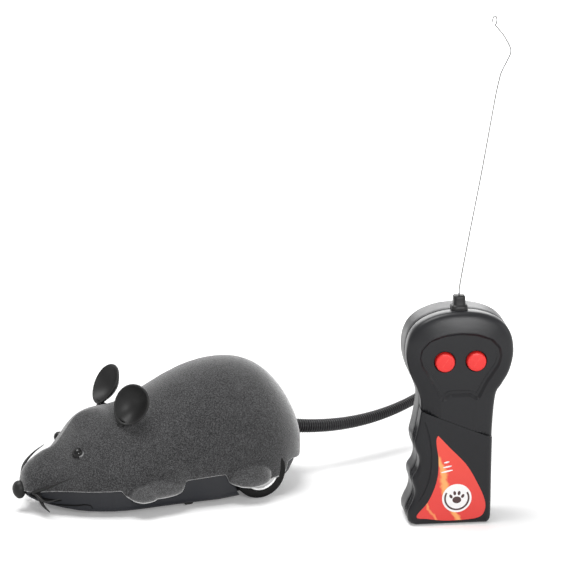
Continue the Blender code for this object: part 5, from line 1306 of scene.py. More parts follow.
@dataclass
class Remote:
    """The two-button radio remote control, in its own frame."""

    site: Site
    height: float = 0.1064
    half_width: float = 0.0259
    front: float = -0.01285
    back: float = 0.01285
    joint: float = -0.00325
    gap: float = 0.0002
    wall: float = 0.0020
    joint_edge: float = 0.00025
    points: int = 560
    outline_shares: Pairs = (
        (0.540, 0.000), (0.600, 0.018), (0.612, 0.070), (0.616, 0.240),
        (0.622, 0.420), (0.640, 0.555), (0.680, 0.602), (0.795, 0.655),
        (0.920, 0.710), (0.992, 0.775), (1.000, 0.830), (0.955, 0.885),
        (0.840, 0.932), (0.640, 0.968), (0.340, 0.993), (0.000, 1.000),
        (-0.340, 0.993), (-0.640, 0.968), (-0.840, 0.932), (-0.955, 0.885),
        (-1.000, 0.830), (-0.992, 0.775), (-0.920, 0.710), (-0.810, 0.652),
        (-0.735, 0.602), (-0.718, 0.562), (-0.748, 0.505), (-0.795, 0.445),
        (-0.836, 0.398), (-0.815, 0.358), (-0.762, 0.325), (-0.752, 0.293),
        (-0.790, 0.262), (-0.866, 0.232), (-0.872, 0.203), (-0.838, 0.174),
        (-0.830, 0.148), (-0.862, 0.116), (-0.938, 0.076), (-0.966, 0.046),
        (-0.930, 0.014), (-0.800, 0.000))
    split_shares: tuple[float, float] = (0.574, 0.371)
    panel_shares: Pairs = (
        (0.000, 0.623), (0.190, 0.623), (0.320, 0.603), (0.480, 0.680),
        (0.690, 0.755), (0.735, 0.795), (0.700, 0.830), (0.560, 0.867),
        (0.300, 0.889), (0.000, 0.896))
    panel_depth: float = 0.0020
    panel_wall: float = 0.0016
    panel_slope: float = 0.0016
    button_x: float = 0.0076
    button_z_share: float = 0.771
    button_radius: float = 0.0047
    button_proud: float = 0.0019
    button_room: float = 0.0003
    button_flange: float = 0.0060
    crown: Pairs = (
        (0.0, 0.0060), (0.0, 0.0046), (0.0002, 0.0037), (0.0006, 0.0030), (0.0012, 0.0024), (0.0020, 0.00195),
        (0.0032, 0.0015), (0.0048, 0.00105), (0.0064, 0.00062), (0.0080, 0.00025), (0.0092, 0.0))
    edge_round: float = 0.0030
    rib_depth: float = 0.00032
    rib_pitch: float = 0.0013
    contour: Pairs = (
        (-0.0194, 0.0574), (-0.0160, 0.0490), (-0.0141, 0.0397), (-0.0139, 0.0310), (-0.0150, 0.0234),
        (-0.0183, 0.0150), (-0.0236, 0.0078), (-0.0262, 0.0050))
    door: tuple[float, float, float, float] = (-0.0173, 0.0129, 0.0023, 0.0564)
    boot_room_height: float = 0.1224
    boot_sunk: float = 0.0040
    boot_rise: float = 0.0070
    boot_rows: Pairs = (
        (0.0000, 0.00410), (0.0050, 0.00410), (0.0058, 0.00392), (0.0062, 0.00350), (0.0063, 0.00308),
        (0.0065, 0.00300), (0.0096, 0.00292), (0.0103, 0.00282), (0.0108, 0.00240), (0.0110, 0.00180),
        (0.0110, 0.0008))
    wire_length: float = 0.1352
    wire_radius: float = 0.00035
    wire_shares: Pairs = (
        (0.000, 0.000), (0.003, 0.040), (0.029, 0.194), (0.074, 0.448), (0.115, 0.699), (0.129, 0.770),
        (0.138, 0.802), (0.163, 0.853), (0.168, 0.873), (0.163, 0.892), (0.143, 0.927), (0.122, 0.953),
        (0.110, 0.966))
    screw_radius: float = 0.0019
    screw_depth: float = 0.0012
    screw_well: float = 0.0024
    screw_places: Pairs = ((-0.0195, 0.855), (0.0195, 0.855), (-0.0146, 0.61), (0.0130, 0.61))
    door_ribs: int = 5
    door_rib_start: float = 0.0055
    door_rib_pitch: float = 0.0016
    door_rib_halves: tuple[float, float] = (0.0065, 0.00045)

    def outline(self) -> Array:
        """The outline of the case, evenly spread and anticlockwise."""
        rows = np.array(self.outline_shares) * (self.half_width, self.height)
        curve = smooth_curve(rows, 1200)
        return even_ring(curve, self.points)

    def head_outline(self) -> Array:
        """The outline of the head alone, with a plain leg below the joint."""
        rows = [row for row in self.outline_shares if row[1] > 0.56]
        rows = [(0.622, 0.30), (0.628, 0.45), *rows, (-0.712, 0.45), (-0.712, 0.30)]
        curve = smooth_curve(np.array(rows) * (self.half_width, self.height), 1200)
        return even_ring(curve, self.points)

    def split_cutter(self, above: bool) -> Piece:
        """What lies above or below the slanting joint of the front.

        Args:
            above: Whether it is what lies above.

        Returns:
            A wedge to cut with, wider than the case.
        """
        half = 2 * self.half_width
        low, high = self.split_shares[1], self.split_shares[0]
        slope = (low - high) * self.height / (2 * self.half_width)
        middle = (low + high) / 2 * self.height + (-self.gap / 2 if above else self.gap / 2)
        far = 2 * self.height if above else -self.height
        fall = slope * half
        corners = np.array([(-half, middle - fall), (half, middle + fall), (half, far), (-half, far)])
        corners = corners if above else corners[::-1]
        rings = [upright(corners, y) for y in (-0.03, 0.03)]
        return grid("split_cutter", np.array(rings), caps=True)

    def panel_outline(self, spread: float) -> Array:
        """The sunken panel's outline, let out by spread."""
        right = np.array(self.panel_shares) * (self.half_width, self.height)
        left = right[-2:0:-1] * (-1, 1)
        shape = np.vstack([right, left])
        closed = even_ring(shape, 360)
        for _ in range(3):
            closed = (np.roll(closed, 1, 0) + 2 * closed + np.roll(closed, -1, 0)) / 4
        return drawn_in(closed, -spread)

    def hollow(self, outline: Array, start: float, end: float) -> Piece:
        """The room inside a case half."""
        return block("hollow", drawn_in(outline, self.wall), [(0.0, start), (0.0, end)])

    def head(self) -> Piece:
        """Head of the front case: a crowned face with the sunken panel.

        The face falls away towards the outline by the crown table, which
        holds the depth behind the front for each inset.
        """
        outline, start = self.head_outline(), self.joint - self.gap / 2
        profile = [(0.0, start - self.joint_edge)]
        profile += [(inset, self.front + depth) for inset, depth in self.crown]
        head = block("remote_head", outline, profile)
        panel, panel_back = self.front + self.panel_depth, self.front + self.panel_depth + self.panel_wall
        trim(head, self.hollow(outline, start + 0.001, panel_back))
        slope = self.panel_slope / self.panel_depth
        far = 0.0006
        rings = [(self.panel_outline(0.0), panel), (self.panel_outline(0.0002), panel - 0.0001),
                 (self.panel_outline(self.panel_slope - 0.0002), self.front + 0.0001),
                 (self.panel_outline(self.panel_slope + 0.0004 + slope * far), self.front - far)]
        sink = grid("sink", np.array([upright(ring, y) for ring, y in rings]), caps=True)
        trim(head, sink)
        step = self.panel_outline(-0.0012)
        trim(head, block("step", step, [(0.0, panel + 0.00022), (0.0, panel - 0.0005)]))
        for x in (-self.button_x, self.button_x):
            radius = self.button_radius + self.button_room
            profile = np.array([(panel_back + 0.001, radius), (panel + 0.0005, radius),
                                (panel + 0.00015, radius + 0.0004), (panel - 0.001, radius + 0.0004)])
            trim(head, turned("hole", profile, (x, 0, self.button_z_share * self.height), Axis.Y))
        trim(head, self.boot_room())
        trim(head, self.split_cutter(False))
        return soften(head, 0.00022, 2, 40)

    @staticmethod
    def square(half: float, corner: float = 0.45, count: int = 64) -> Array:
        """A square outline with round corners: |cos| and |sin| to a small power."""
        a = whole_turn(count)
        c, s = np.cos(a), np.sin(a)
        return np.stack([half * np.sign(part) * np.abs(part) ** corner for part in (c, s)], -1)

    def boot_room(self) -> Piece:
        """The upright square hole that the antenna boot sits in."""
        room = block("boot_room", self.square(0.0043), [(0.0, -0.02), (0.0, 0.02)])
        middle = self.boot_room_height
        return moved(room, lambda p: np.column_stack([p[:, 0], p[:, 2] + self.joint, p[:, 1] + middle]))

    def rib_share(self, ring: Array) -> Array:
        """How strongly the finger grips are ribbed at each point of the outline.

        The ribs show on the left, most on the swellings between the fingers.
        """
        x, z = ring[:, 0] / self.half_width, ring[:, 1] / self.height
        left, below, above = (-x - 0.76) / 0.06, (0.53 - z) / 0.04, (z - 0.03) / 0.04
        return np.clip(left, 0, 1) * np.clip(below, 0, 1) * np.clip(above, 0, 1)

    def grip(self) -> Piece:
        """Grip cover: the finger side has fine ribs along its outline.

        On the side wall the ribs draw the outline in by
        depth (1 - cos(2 pi y / pitch)) / 2 times the rib share.
        """
        outline, start = self.outline(), self.joint - self.gap / 2
        face = self.front
        side = np.linspace(start - self.joint_edge, face + self.edge_round, 34)
        rings = [upright(drawn_in(outline, self.joint_edge), start)]
        normal = np.roll(outline, -1, 0) - np.roll(outline, 1, 0)
        normal = np.stack([-normal[:, 1], normal[:, 0]], -1) / np.linalg.norm(normal, axis=1, keepdims=True)
        share = self.rib_share(outline)[:, None]
        for y in side:
            fade = np.clip((y - side[-1]) / 0.0006, 0, 1) * np.clip((side[0] - y) / 0.0006, 0, 1)
            rib = self.rib_depth * (1 - math.cos(2 * math.pi * (y - side[-1]) / self.rib_pitch)) / 2 * fade
            ring = outline + normal * share * rib
            rings.append(upright(ring, y))
        angle = np.linspace(0, math.pi / 2, 9)[1:]
        ring, now = outline, 0.0
        insets, depths = self.edge_round * (1 - np.cos(angle)), self.edge_round * (1 - np.sin(angle))
        for inset, y in zip(insets, face + depths):
            ring, now = drawn_in(ring, inset - now), inset
            rings.append(upright(ring, y))
        cover = grid("remote_grip", np.array(rings), caps=True)
        trim(cover, self.hollow(outline, start + 0.001, face + self.wall))
        trim(cover, self.split_cutter(True))
        knots = upright(np.array(self.contour), face - 0.00005)
        line = even_curve(smooth_curve(knots, 300), 120)
        trim(cover, tube("contour_groove", line, np.full(120, 0.00032), 16, (0, 1, 0)))
        return soften(cover, 0.00018, 2, 40)

    def back_case(self) -> Piece:
        """Back case with the battery opening and screw wells."""
        outline, start = self.outline(), self.joint + self.gap / 2
        angle = np.linspace(0, math.pi / 2, 9)
        profile = [(0.0, start + self.joint_edge), (0.0, start + 0.004)]
        profile += [(self.edge_round * (1 - math.cos(a)), self.back - self.edge_round * (1 - math.sin(a)))
                    for a in angle]
        case = block("remote_rear_case", outline, profile)
        trim(case, self.hollow(outline, start - 0.001, self.back - self.wall))
        x0, x1, z0, z1 = self.door
        room = np.array([(x0, z0), (x1, z0), (x1, z1), (x0, z1)])
        trim(case, plate("opening", room, self.back + 0.002, 0.012))
        trim(case, self.boot_room())
        for x, z in self.screws():
            rim = ellipse(x, z, self.screw_well, self.screw_well, count=48)
            trim(case, block("well", rim, [(0.0, self.back + 0.001), (0.0, self.back - self.screw_depth)]))
        return soften(case, 0.0002, 2, 40)

    def screws(self) -> list[tuple[float, float]]:
        """Places of the screws that hold the back case."""
        return [(x, share * self.height) for x, share in self.screw_places]

    def button(self, word: str, x: float) -> Piece:
        """A round button: slightly domed top, rounded rim and a flange."""
        face = self.front + self.panel_depth
        top, radius, back = face - self.button_proud, self.button_radius, face + self.panel_wall
        flange = self.button_flange
        profile = rounded_profile([
            (top - 0.00012, 0.0001, 0), (top, radius * 0.62, 0.0012), (top + 0.0002, radius - 0.0004, 0.0006),
            (top + 0.0009, radius, 0.0006), (back + self.gap, radius, 0), (back + self.gap, flange, 0),
            (back + self.gap + 0.0010, flange, 0), (back + self.gap + 0.0010, 0.0016, 0)])
        return turned(f"button_cap_{word}", profile, (x, 0, self.button_z_share * self.height), Axis.Y)

    def boot(self) -> Piece:
        """Antenna boot: a foot, a collar and a narrower neck, all square with
        round corners."""
        rings = []
        for rise, half in self.boot_rows:
            ring = self.square(half, 0.5, 72)
            level = np.full(len(ring), self.height - self.boot_sunk + rise)
            rings.append(np.column_stack([ring[:, 0], ring[:, 1] + self.joint, level]))
        return grid("antenna_sleeve", np.array(rings), caps=True)

    def antenna(self) -> Piece:
        """The wire: gently bent, with a small safety loop at its tip."""
        top = self.height + self.boot_rise
        line = smooth_curve(np.array(self.wire_shares) * self.wire_length, 300)
        angle = np.radians(np.linspace(-90, 210, 40))[1:]
        loop = line[-1] + np.stack([0.0010 * np.cos(angle), 0.0021 * (1 + np.sin(angle))], -1)
        line = np.vstack([[0, -0.0037], line, loop])
        path = np.column_stack([line[:, 0], np.full(len(line), self.joint), line[:, 1] + top])
        path = even_curve(path, 360)
        return tube("antenna_wire_round", path, np.full(len(path), self.wire_radius), 18, (0, 1, 0))

    def dress(self, piece: Piece, looks: "Looks", finish: str, node: str = "",
              body: str = "toy_set") -> Piece:
        """Set a piece in the frame with its finish, body and node."""
        moved(piece, self.site.on_remote)
        return looks.dress(piece, finish, node, body)

    def build(self, looks: "Looks") -> None:
        """Make every piece of the remote control."""
        for make, finish, node in (
                (self.head, "case", "remote_front"), (self.grip, "case", "remote_grip_cover"),
                (self.back_case, "case", "remote_back"), (self.boot, "boot", "antenna_boot"),
                (self.antenna, "wire", "antenna_wire")):
            self.dress(make(), looks, finish, node)
        for word, x in (("forward", -self.button_x), ("turn", self.button_x)):
            self.dress(self.button(word, x), looks, "red", f"button_{word}", f"{word}_button")
        for number, (x, z) in enumerate(self.screws(), 1):
            screw = Screw(f"rear_screw_{number}", self.screw_radius).build()
            seat = self.back - self.screw_depth
            moved(screw, lambda p: np.column_stack([x + p[:, 0], seat + p[:, 2], z + p[:, 1]]))
            self.dress(screw, looks, "steel")
        x0, x1, _, z1 = self.door
        profile = [(0.0, self.back - 0.0004), (0.0, self.back + 0.0001), (0.0002, self.back + 0.00025)]
        for number in range(self.door_ribs):
            z = z1 - self.door_rib_start - number * self.door_rib_pitch
            rim = ellipse((x0 + x1) / 2, z, *self.door_rib_halves, count=48)
            self.dress(block(f"door_rib_{number + 1}", rim, profile), looks, "case", body="remote_door")


@dataclass
class Screw:
    """Pan head screw with a cross recess, its head standing along z from 0."""

    name: str
    radius: float
    rise: float = 0.0009

    def build(self) -> Piece:
        """The head with its recess cut."""
        r, h = self.radius, self.rise
        profile = rounded_profile([(-0.0006, 0.45 * r, 0), (0.0, 0.45 * r, 0), (0.0, r, 0),
                                   (0.45 * h, r, 0.3 * h), (h, 0.62 * r, 0.5 * h), (h, 0.0001, 0)])
        head = turned(self.name, profile, (0, 0, 0), Axis.Z, 48)
        for across in (0.0, math.pi / 2):
            bar = ellipse(0, 0, 0.55 * r, 0.13 * r, across, 32)
            rings = [np.column_stack([bar * scale, np.full(len(bar), z)])
                     for z, scale in ((0.35 * h, 0.6), (h + 0.0003, 1.15))]
            trim(head, grid("recess", np.array(rings), caps=True))
        return head


@dataclass
class Belly:
    """What lies on the bare plastic under the flock: painted shade in the jaw creases, and screws."""

    site: Site
    widths: tuple[float, float] = (0.00075, 0.00042)
    screw_along: tuple[float, float] = (-0.0400, 0.0235)
    screw_out: float = 0.0180
    screw_radius: float = 0.0019
    steps: int = 70
    creases: tuple[Pairs, ...] = (
        ((-0.0695, 0.0096), (-0.0665, 0.0085), (-0.0628, 0.0076), (-0.0592, 0.0072), (-0.0560, 0.0078)),
        ((-0.0615, 0.0058), (-0.0570, 0.0052), (-0.0510, 0.0057), (-0.0466, 0.0065), (-0.0440, 0.0060),
         (-0.0433, 0.0044)))

    def jaw_crease(self, chassis: Piece, side: Side, number: int) -> Piece:
        """A thin soft near-black bead laid along the jaw, half sunk in it: painted shade in a crease.

        Args:
            chassis: What it is laid on.
            side: The side of the mouse.
            number: Which crease, from 1.

        Returns:
            The bead.
        """
        line = even_curve(smooth_curve(np.array(self.creases[number - 1]), 200), self.steps)
        far = np.full(self.steps, side.value * FAR_OUT)
        path = np.array([on_skin(chassis, spot, (0, -side.value, 0)) for spot in
                         self.site.on_mouse(np.column_stack([line[:, 0], far, line[:, 1]]))])
        path[1:-1] = (path[:-2] + path[1:-1] + path[2:]) / 3
        radii = self.widths[number - 1] * np.sin(np.linspace(0.1, math.pi - 0.1, self.steps)) ** 0.5
        return tube(f"jaw_crease_{side.word}_{number}", path, radii, 12, (0, 1, 0))

    def screw(self, chassis: Piece, number: int, x: float, y: float) -> Piece:
        """A screw head on the underside, where a ray from the floor meets it.

        Args:
            chassis: What it is set in.
            number: Which screw, from 1.
            x: Its place along the mouse.
            y: Its place across it.

        Returns:
            The screw head.
        """
        seat = on_skin(chassis, self.site.on_mouse(np.array([x, y, -0.01])), (0, 0, 1))
        head = Screw(f"belly_screw_{number}", self.screw_radius, 0.0006).build()
        return moved(head, lambda p: np.column_stack([p[:, 0], -p[:, 1], -p[:, 2]]) + seat)

    def build(self, looks: "Looks", chassis: Piece) -> None:
        """Lay the painted crease shade on both sides and set the screws."""
        spots = [(x, side.value * self.screw_out) for x in self.screw_along for side in Side]
        for number, (x, y) in enumerate(spots, 1):
            looks.dress(self.screw(chassis, number, x, y), "steel")
        for side in Side:
            for number in range(1, len(self.creases) + 1):
                # painted shade: dark beads along the jaw creases
                looks.dress(self.jaw_crease(chassis, side, number), "crease_shade")


@dataclass
class Spring:
    """A contact spring: round wire on a cone between a cell and its box."""

    node: str
    turns: float = 2.0
    wire: float = 0.0003
    taper: float = 0.35
    steps: int = 160

    def build(self) -> Piece:
        """The coil in the CAD spring's place.

        Radius and height run evenly: r = R (1 - taper t), h = wire + rise t.
        The axis is the box's short side across x and z, and the wide end is
        told from where the widest points of the CAD spring lie.
        """
        low, high = (np.array(corner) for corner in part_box(self.node))
        points = np.array([v.co for v in bpy.data.objects[self.node].data.vertices], float)
        axis = Axis.X if high[0] - low[0] < high[2] - low[2] else Axis.Z
        k = axis.value
        centre = (low + high) / 2
        rest = [index for index in range(3) if index != k]
        reach = np.linalg.norm((points - centre)[:, rest], axis=1)
        sign = 1.0 if points[reach.argmax(), k] < centre[k] else -1.0
        radius = (high[rest[1]] - low[rest[1]]) / 2 - self.wire
        t = np.linspace(0, 1, self.steps)
        angle = 2 * math.pi * self.turns * t
        around = radius * (1 - self.taper * t)
        rise = (high[k] - low[k]) - 2 * self.wire
        along = centre[k] - sign * (high[k] - low[k]) / 2 + sign * (self.wire + rise * t)
        path = np.empty((self.steps, 3))
        path[:, k] = along
        path[:, rest[0]] = centre[rest[0]] + around * np.cos(angle)
        path[:, rest[1]] = centre[rest[1]] + around * np.sin(angle)
        up = (1, 0, 0) if axis is Axis.X else (0, 0, 1)
        return tube(f"{self.node}_coil", path, np.full(self.steps, self.wire), 14, up)


@dataclass
class Sticker:
    """A generic printed sticker: warm ground, sweeps of flame, a paw badge."""

    remote: Remote
    lift: float = 0.00006
    layer_step: float = 0.00003
    edge: Pairs = (
        (-0.0107, 0.0458), (-0.0045, 0.0390), (0.0033, 0.0305), (0.0085, 0.0215), (0.0121, 0.0134),
        (0.0128, 0.0080), (0.0107, 0.0040), (0.0050, 0.0026), (-0.0063, 0.0023), (-0.0150, 0.0034),
        (-0.0208, 0.0048), (-0.0155, 0.0118),
        (-0.0120, 0.0195), (-0.0105, 0.0265), (-0.0104, 0.0340), (-0.0113, 0.0400), (-0.0115, 0.0440))
    badge: tuple[float, float] = (-0.0012, 0.0136)
    badge_radius: float = 0.0072
    toes: tuple[Triple, ...] = (
        (-0.40, 0.14, 0.5), (-0.15, 0.36, 0.2), (0.15, 0.36, -0.2), (0.40, 0.14, -0.5))
    dashes: tuple[Triple, ...] = (
        (-0.0062, 0.0275, 0.0030), (-0.0060, 0.0298, 0.0022), (-0.0064, 0.0321, 0.0014))

    def outline(self) -> Array:
        """The sticker's edge, anticlockwise."""
        rows = np.array(self.edge + (self.edge[0],))
        return even_curve(smooth_curve(rows, 500), 241)[:-1][::-1]

    def layers(self) -> list[tuple[str, Array, str]]:
        """Names, outlines and finishes of the printed layers, from the lowest."""
        x, z = self.badge
        r = self.badge_radius
        made = [("sticker_ground", self.outline(), "sticker"),
                ("badge_disc", ellipse(x, z, r, r), "white_print")]
        angle = np.radians(np.linspace(150, 390, 60))
        arc = np.vstack([np.stack([x + share * r * np.cos(turn), z + share * r * np.sin(turn)], -1)
                         for share, turn in ((0.86, angle), (0.74, angle[::-1]))])
        made.append(("badge_ring", arc, "dark_print"))
        made.append(("paw_pad", ellipse(x, z - 0.12 * r, 0.30 * r, 0.24 * r), "dark_print"))
        for number, (across, up, lean) in enumerate(self.toes, 1):
            toe = ellipse(x + across * r, z + up * r, 0.10 * r, 0.15 * r, lean, 40)
            made.append((f"paw_toe_{number}", toe, "dark_print"))
        for number, (across, up, half) in enumerate(self.dashes, 1):
            made.append((f"speed_dash_{number}", ellipse(across, up, half, 0.00042, 0.20, 40), "white_print"))
        return made

    def build(self, looks: "Looks") -> None:
        """Lay the layers on the grip's face, each a hair above the last."""
        heights = {finish: self.lift + number * self.layer_step
                   for number, finish in enumerate(("sticker", "white_print", "dark_print"))}
        for name, outline, finish in self.layers():
            piece = plate(name, outline, self.remote.front + 0.00002, heights[finish] + 0.00002)
            self.remote.dress(piece, looks, finish)


@dataclass(frozen=True)
class StickerPrint(Finish):
    """Red-orange print with yellow sweeps and a satin film over it."""

    turn: float = 0.0
    origin: Triple = (0.0, 0.0, 0.0)

    def build(self, groups: Groups) -> Material:
        """Make the material.

        The print runs in the remote's own x and z, found from the place in
        the object by taking away the foot's place and turning back.
        """
        material, w, shader = self.start()
        mapping = w.add("ShaderNodeMapping", vector_type="TEXTURE")
        w.put(mapping, Vector=w.place(), Location=self.origin, Rotation=(0, 0, self.turn))
        split = w.add("ShaderNodeSeparateXYZ")
        w.put(split, Vector=mapping.outputs["Vector"])
        x, z = split.outputs["X"], split.outputs["Z"]
        bend = w.times(w.sums("SINE", w.times(z, 150.0)), 0.0022)
        across = w.plus(w.plus(x, w.times(z, 0.42)), bend)
        torn = w.times(w.noise(mapping.outputs["Vector"], 160.0, 3.0, 0.6), 0.005)
        across = w.plus(across, torn)
        first = w.minus(1.0, w.ramp(w.sums("ABSOLUTE", w.plus(across, -0.0042)), 0.0004, 0.0022))
        second = w.minus(1.0, w.ramp(w.sums("ABSOLUTE", w.plus(across, 0.0065)), 0.0002, 0.0012))
        glow = w.sums("MINIMUM", w.plus(first, w.times(second, 0.6)), 1.0)
        ground = w.mixed(w.ramp(z, 0.004, 0.046), (0.66, 0.030, 0.022, 1), (0.74, 0.050, 0.028, 1))
        colour = w.mixed(w.times(glow, 0.85), ground, (0.86, 0.42, 0.12, 1))
        w.put(shader, Base_Color=colour, Roughness=0.42, Coat_Weight=0.25, Coat_Roughness=0.2,
              Specular_IOR_Level=0.5)
        return material


# Putting it up

class Looks:
    """Every finish of the set, by a short name."""

    def __init__(self, site: Site) -> None:
        """Build the groups and the finishes."""
        groups = Groups()
        grey = lambda value: (value, value, value)
        finishes = {
            "flock": Flock("FlockedGrey", "flock"),
            "chassis": Moulded("SlateShell", "chassis", (0.0120, 0.0130, 0.0170), grey(0.09), roughness=0.48,
                               waves=0.03, specular=0.19),
            "rubber": Moulded("BlackRubber", "rubber", grey(0.011), grey(0.05), roughness=0.46,
                              grain_scale=2400.0, grain_depth=0.2, specular=0.25),
            "tail": Moulded("TailRubber", "rubber", (0.0120, 0.0115, 0.0130), grey(0.07), roughness=0.30,
                            wear=0.4, grain_scale=2400.0, grain_depth=0.1, specular=0.36),
            "tyre": Moulded("TyreRubber", "tyre", grey(0.007), grey(0.05), roughness=0.6, wear=0.35,
                            grain_scale=2600.0, grain_depth=0.3, specular=0.15),
            "lid": Moulded("LidGrey", "flock", grey(0.22), grey(0.4), roughness=0.7, wear=0.2,
                           grain_scale=1500.0, grain_depth=0.1),
            "bead": Moulded("EyeBead", "bead", grey(0.003), grey(0.02), roughness=0.06, wear=0.1,
                            grain_scale=1500.0, grain_depth=0.02, waves=0.0, coat=0.1, specular=0.22),
            "case": Moulded("RemoteCase", "case", (0.0080, 0.0082, 0.0098), grey(0.07), roughness=0.34,
                            grain_scale=2000.0, grain_depth=0.2, specular=0.28, edges=0.0),
            "boot": Moulded("BootVinyl", "rubber", grey(0.008), grey(0.05), roughness=0.36,
                            grain_scale=2000.0, grain_depth=0.15, specular=0.27),
            "red": Moulded("ButtonRed", "red", (0.74, 0.018, 0.015), (0.82, 0.14, 0.11), roughness=0.38,
                           grain_scale=1500.0, grain_depth=0.06),
            "chrome": Metal("HubBright", "chrome", grey(0.92), roughness=0.22, wear=0.1, brushing=0.04,
                            metallic=0.35),
            "wire": Metal("AntennaSteel", "steel", grey(0.20), roughness=0.36),
            # near-black beads of painted shade in the jaw creases
            "crease_shade": Moulded("JawShade", "rubber", grey(0.0025), grey(0.02), roughness=0.6, wear=0.1,
                             grain_scale=2000.0, grain_depth=0.1, specular=0.1),
            "steel": Metal("NickelSteel", "steel", (0.62, 0.61, 0.59), roughness=0.28),
            "gear": Moulded("GearNylon", "gear", (0.62, 0.60, 0.54), grey(0.75), roughness=0.42),
            "board": Board("BoardGreen", "board"),
            "white_print": Moulded("PrintWhite", "case", grey(0.80), grey(0.86), wear=0.2,
                                   grain_scale=1500.0, grain_depth=0.03),
            "dark_print": Moulded("PrintDark", "case", (0.045, 0.010, 0.010), grey(0.1), wear=0.2,
                                  grain_scale=1500.0, grain_depth=0.03),
            "sticker": StickerPrint("StickerSweep", "case", site.turn, tuple(site.remote)),
        }
        self.groups = groups
        self.slots = {name: finish.slot for name, finish in finishes.items()}
        self.materials = {name: finish.build(groups) for name, finish in finishes.items()}

    def dress(self, piece: Piece, finish: str, node: str = "", body: str = "toy_set") -> Piece:
        """Give a piece its finish, its body and the CAD node it stands for.

        Args:
            piece: The piece, already in place.
            finish: Name of its finish.
            node: The CAD node that it replaces, if any.
            body: The body that it moves with.

        Returns:
            The piece.
        """
        piece.data.materials.clear()
        piece.data.materials.append(self.materials[finish])
        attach(piece, body)
        if node:
            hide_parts(node)
        LOG.info("%s: %d faces, %s", piece.name, len(piece.data.polygons), finish)
        return piece

    def repaint(self, node: Piece, material: Material) -> None:
        """Give a CAD node one material."""
        node.data.materials.clear()
        node.data.materials.append(material)


@dataclass
class Works:
    """Finishes of the CAD nodes that stay in view, and their springs."""

    looks: Looks
    finishes: dict[str, str] = field(default_factory=lambda: {
        "chassis": "chassis", "power_switch": "rubber", "switch_knob": "rubber", "battery_door": "chassis",
        "receiver_board": "board", "rear_axle": "steel", "axle_gear": "gear", "idler_gear": "gear",
        "idler_pin": "steel", "drive_motor": "steel", "motor_pinion": "gear", "gear_frame": "gear",
        "caster_turret": "chassis", "caster_pin": "steel", "caster_wheel": "rubber",
        "remote_battery_door": "case", "remote_board": "board"})
    cells: tuple[tuple[str, Axis, bool], ...] = (
        ("mouse_cell_1", Axis.X, True), ("mouse_cell_2", Axis.X, False), ("mouse_cell_3", Axis.X, True),
        ("remote_cell_1", Axis.Z, True), ("remote_cell_2", Axis.Z, False))
    springs: tuple[str, ...] = (
        "mouse_spring_1", "mouse_spring_2", "mouse_spring_3", "remote_spring_1", "remote_spring_2")

    def build(self, nodes: dict[str, Piece]) -> None:
        """Paint the nodes and replace the springs."""
        for name, finish in self.finishes.items():
            self.looks.repaint(nodes[name], self.looks.materials[finish])
        for name, axis, forward in self.cells:
            low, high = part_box(name)
            ends = (low[axis.value], high[axis.value])
            start, end = ends if forward else ends[::-1]
            sleeve = CellSleeve(f"Sleeve_{name}", "cell", axis, start, end)
            self.looks.repaint(nodes[name], sleeve.build(self.looks.groups))
        for name in self.springs:
            self.looks.dress(Spring(name).build(), "steel", name)


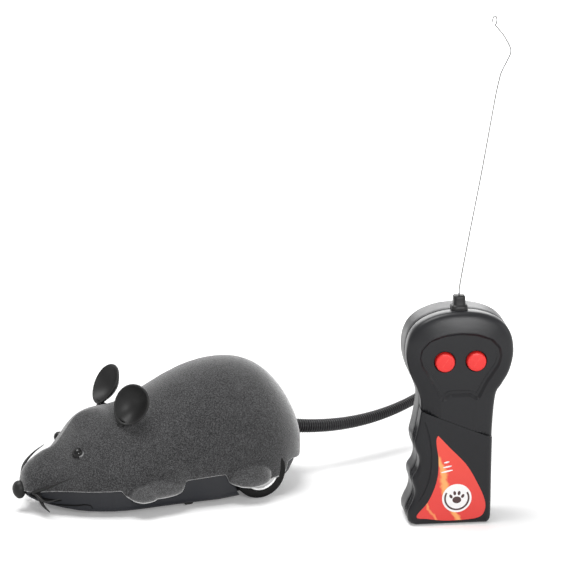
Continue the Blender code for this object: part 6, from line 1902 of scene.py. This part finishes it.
@dataclass
class Stage:
    """White floor, soft lamps, plain world and the photograph's camera."""

    site: Site
    floor_white: float = 0.86
    floor_half: float = 8.0
    floor_height: float = -0.0001
    lift: float = 0.16
    lift_range: tuple[float, float] = (0.16, 0.55)
    world: float = 0.26
    eye: Triple = (-0.5356, -1.4073, 0.5452)
    axes: tuple[Triple, ...] = (
        (0.9184, -0.3955, 0.0), (0.1110, 0.2578, 0.9597), (-0.3796, -0.8815, 0.2807))
    lens: float = 200.0
    sensor: float = 36.0
    clip_start: float = 0.05
    aim: Triple = (0, 0, 0.05)
    lamps: tuple[tuple[str, Triple, float, float], ...] = (
        ("key", (-0.25, 0.10, 1.25), 0.7, 14.0), ("front", (-0.10, -1.50, 0.62), 0.5, 12.4),
        ("fill", (0.95, -0.75, 0.45), 0.6, 2.0), ("back", (0.50, 1.20, 0.52), 0.9, 8.2))

    @staticmethod
    def shown(w: Wiring) -> Socket:
        """One where the ray is the camera's, a mirrored or a transmitted one, else nought."""
        path = w.add("ShaderNodeLightPath")
        mirrored = w.sums("MAXIMUM", path.outputs["Is Camera Ray"], path.outputs["Is Glossy Ray"])
        return w.sums("MAXIMUM", mirrored, path.outputs["Is Transmission Ray"])

    def floor(self) -> None:
        """A plane whose white is lifted where it is seen and not where it lights, so shadows stay."""
        half, low = self.floor_half, self.floor_height
        signs = ((-1, -1), (1, -1), (1, 1), (-1, 1))
        corners = np.array([(x * half, y * half, low) for x, y in signs], float)
        floor = put_mesh("floor", corners, np.array([[0, 1, 2, 3]]))
        material = bpy.data.materials.new("FloorWhite")
        material.use_nodes = True
        w = Wiring(material.node_tree)
        away = w.add("ShaderNodeVectorMath", operation="LENGTH")
        w.put(away, Vector=w.place())
        far = w.ramp(away.outputs["Value"], *self.lift_range)
        lift = w.plus(self.lift, w.times(far, 1.0 - self.lift))
        shader = material.node_tree.nodes["Principled BSDF"]
        w.put(shader, Base_Color=shade(self.floor_white), Roughness=0.9, Specular_IOR_Level=0.1,
              Emission_Color=shade(1.0), Emission_Strength=w.times(self.shown(w), lift))
        floor.data.materials.append(material)

    def lamp(self, name: str, place: Sequence[float], size: float, power: float) -> None:
        """A square soft lamp aimed at the middle of the set.

        Args:
            name: The lamp's name.
            place: Where it stands.
            size: The side of its square.
            power: Its power in watts.
        """
        data = bpy.data.lights.new(name, "AREA")
        data.shape, data.size, data.energy = "SQUARE", size, power
        lamp = bpy.data.objects.new(name, data)
        bpy.context.scene.collection.objects.link(lamp)
        lamp.location = place
        lamp.rotation_euler = (Vector(self.aim) - Vector(place)).to_track_quat("-Z", "Y").to_euler()

    def camera(self) -> None:
        """The camera at the photograph's angle."""
        data = bpy.data.cameras.new("photo_camera")
        data.lens, data.sensor_width, data.clip_start = self.lens, self.sensor, self.clip_start
        camera = bpy.data.objects.new("photo_camera", data)
        bpy.context.scene.collection.objects.link(camera)
        turn = Matrix(self.axes).transposed().to_4x4()
        camera.matrix_world = Matrix.Translation(self.site.on_mouse(np.array(self.eye))) @ turn
        bpy.context.scene.camera = camera

    def build(self) -> None:
        """Put everything up."""
        self.floor()
        for name, place, size, power in self.lamps:
            self.lamp(name, place, size, power)
        world = bpy.data.worlds.new("plain")
        world.use_nodes = True
        w = Wiring(world.node_tree)
        seen = w.times(self.shown(w), 1.0 - self.world)
        w.put(world.node_tree.nodes["Background"], Color=shade(1.0), Strength=w.plus(seen, self.world))
        bpy.context.scene.world = world
        bpy.context.scene.view_settings.view_transform = "Standard"
        self.camera()


def build_mouse(site: Site, looks: Looks) -> None:
    """Make the mouse's pieces.

    Args:
        site: Where the set stands.
        looks: The finishes.
    """
    body = MouseBody(site)
    shell = looks.dress(body.build(), "flock", "body_shell")
    bpy.context.view_layer.update()
    face = Face(site, body)
    looks.dress(face.nose(), "rubber", "nose")
    ears = Ears(site, body)
    for side in Side:
        looks.dress(face.eye(side), "bead", f"eye_{side.word}")
        looks.dress(face.lid(side, shell), "lid")
        for whisker in face.whisker_set(side):
            looks.dress(whisker, "rubber", f"whiskers_{side.word}")
        looks.dress(ears.cup(side), "rubber", f"ear_{side.word}")
        looks.dress(ears.peg(side), "rubber")
        Wheel(site, side).build(looks)
    looks.dress(Tail(site).build(), "tail", "tail")


def main() -> None:
    """Build every piece around the frame."""
    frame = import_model()
    site = Site.found(frame)
    looks = Looks(site)
    Works(looks).build(frame["nodes"])
    build_mouse(site, looks)
    Belly(site).build(looks, frame["nodes"]["chassis"])
    remote = Remote(site)
    remote.build(looks)
    Sticker(remote).build(looks)
    Stage(site).build()


if __name__ == "__main__":
    logging.basicConfig(level=logging.INFO, format="%(message)s")
    main()
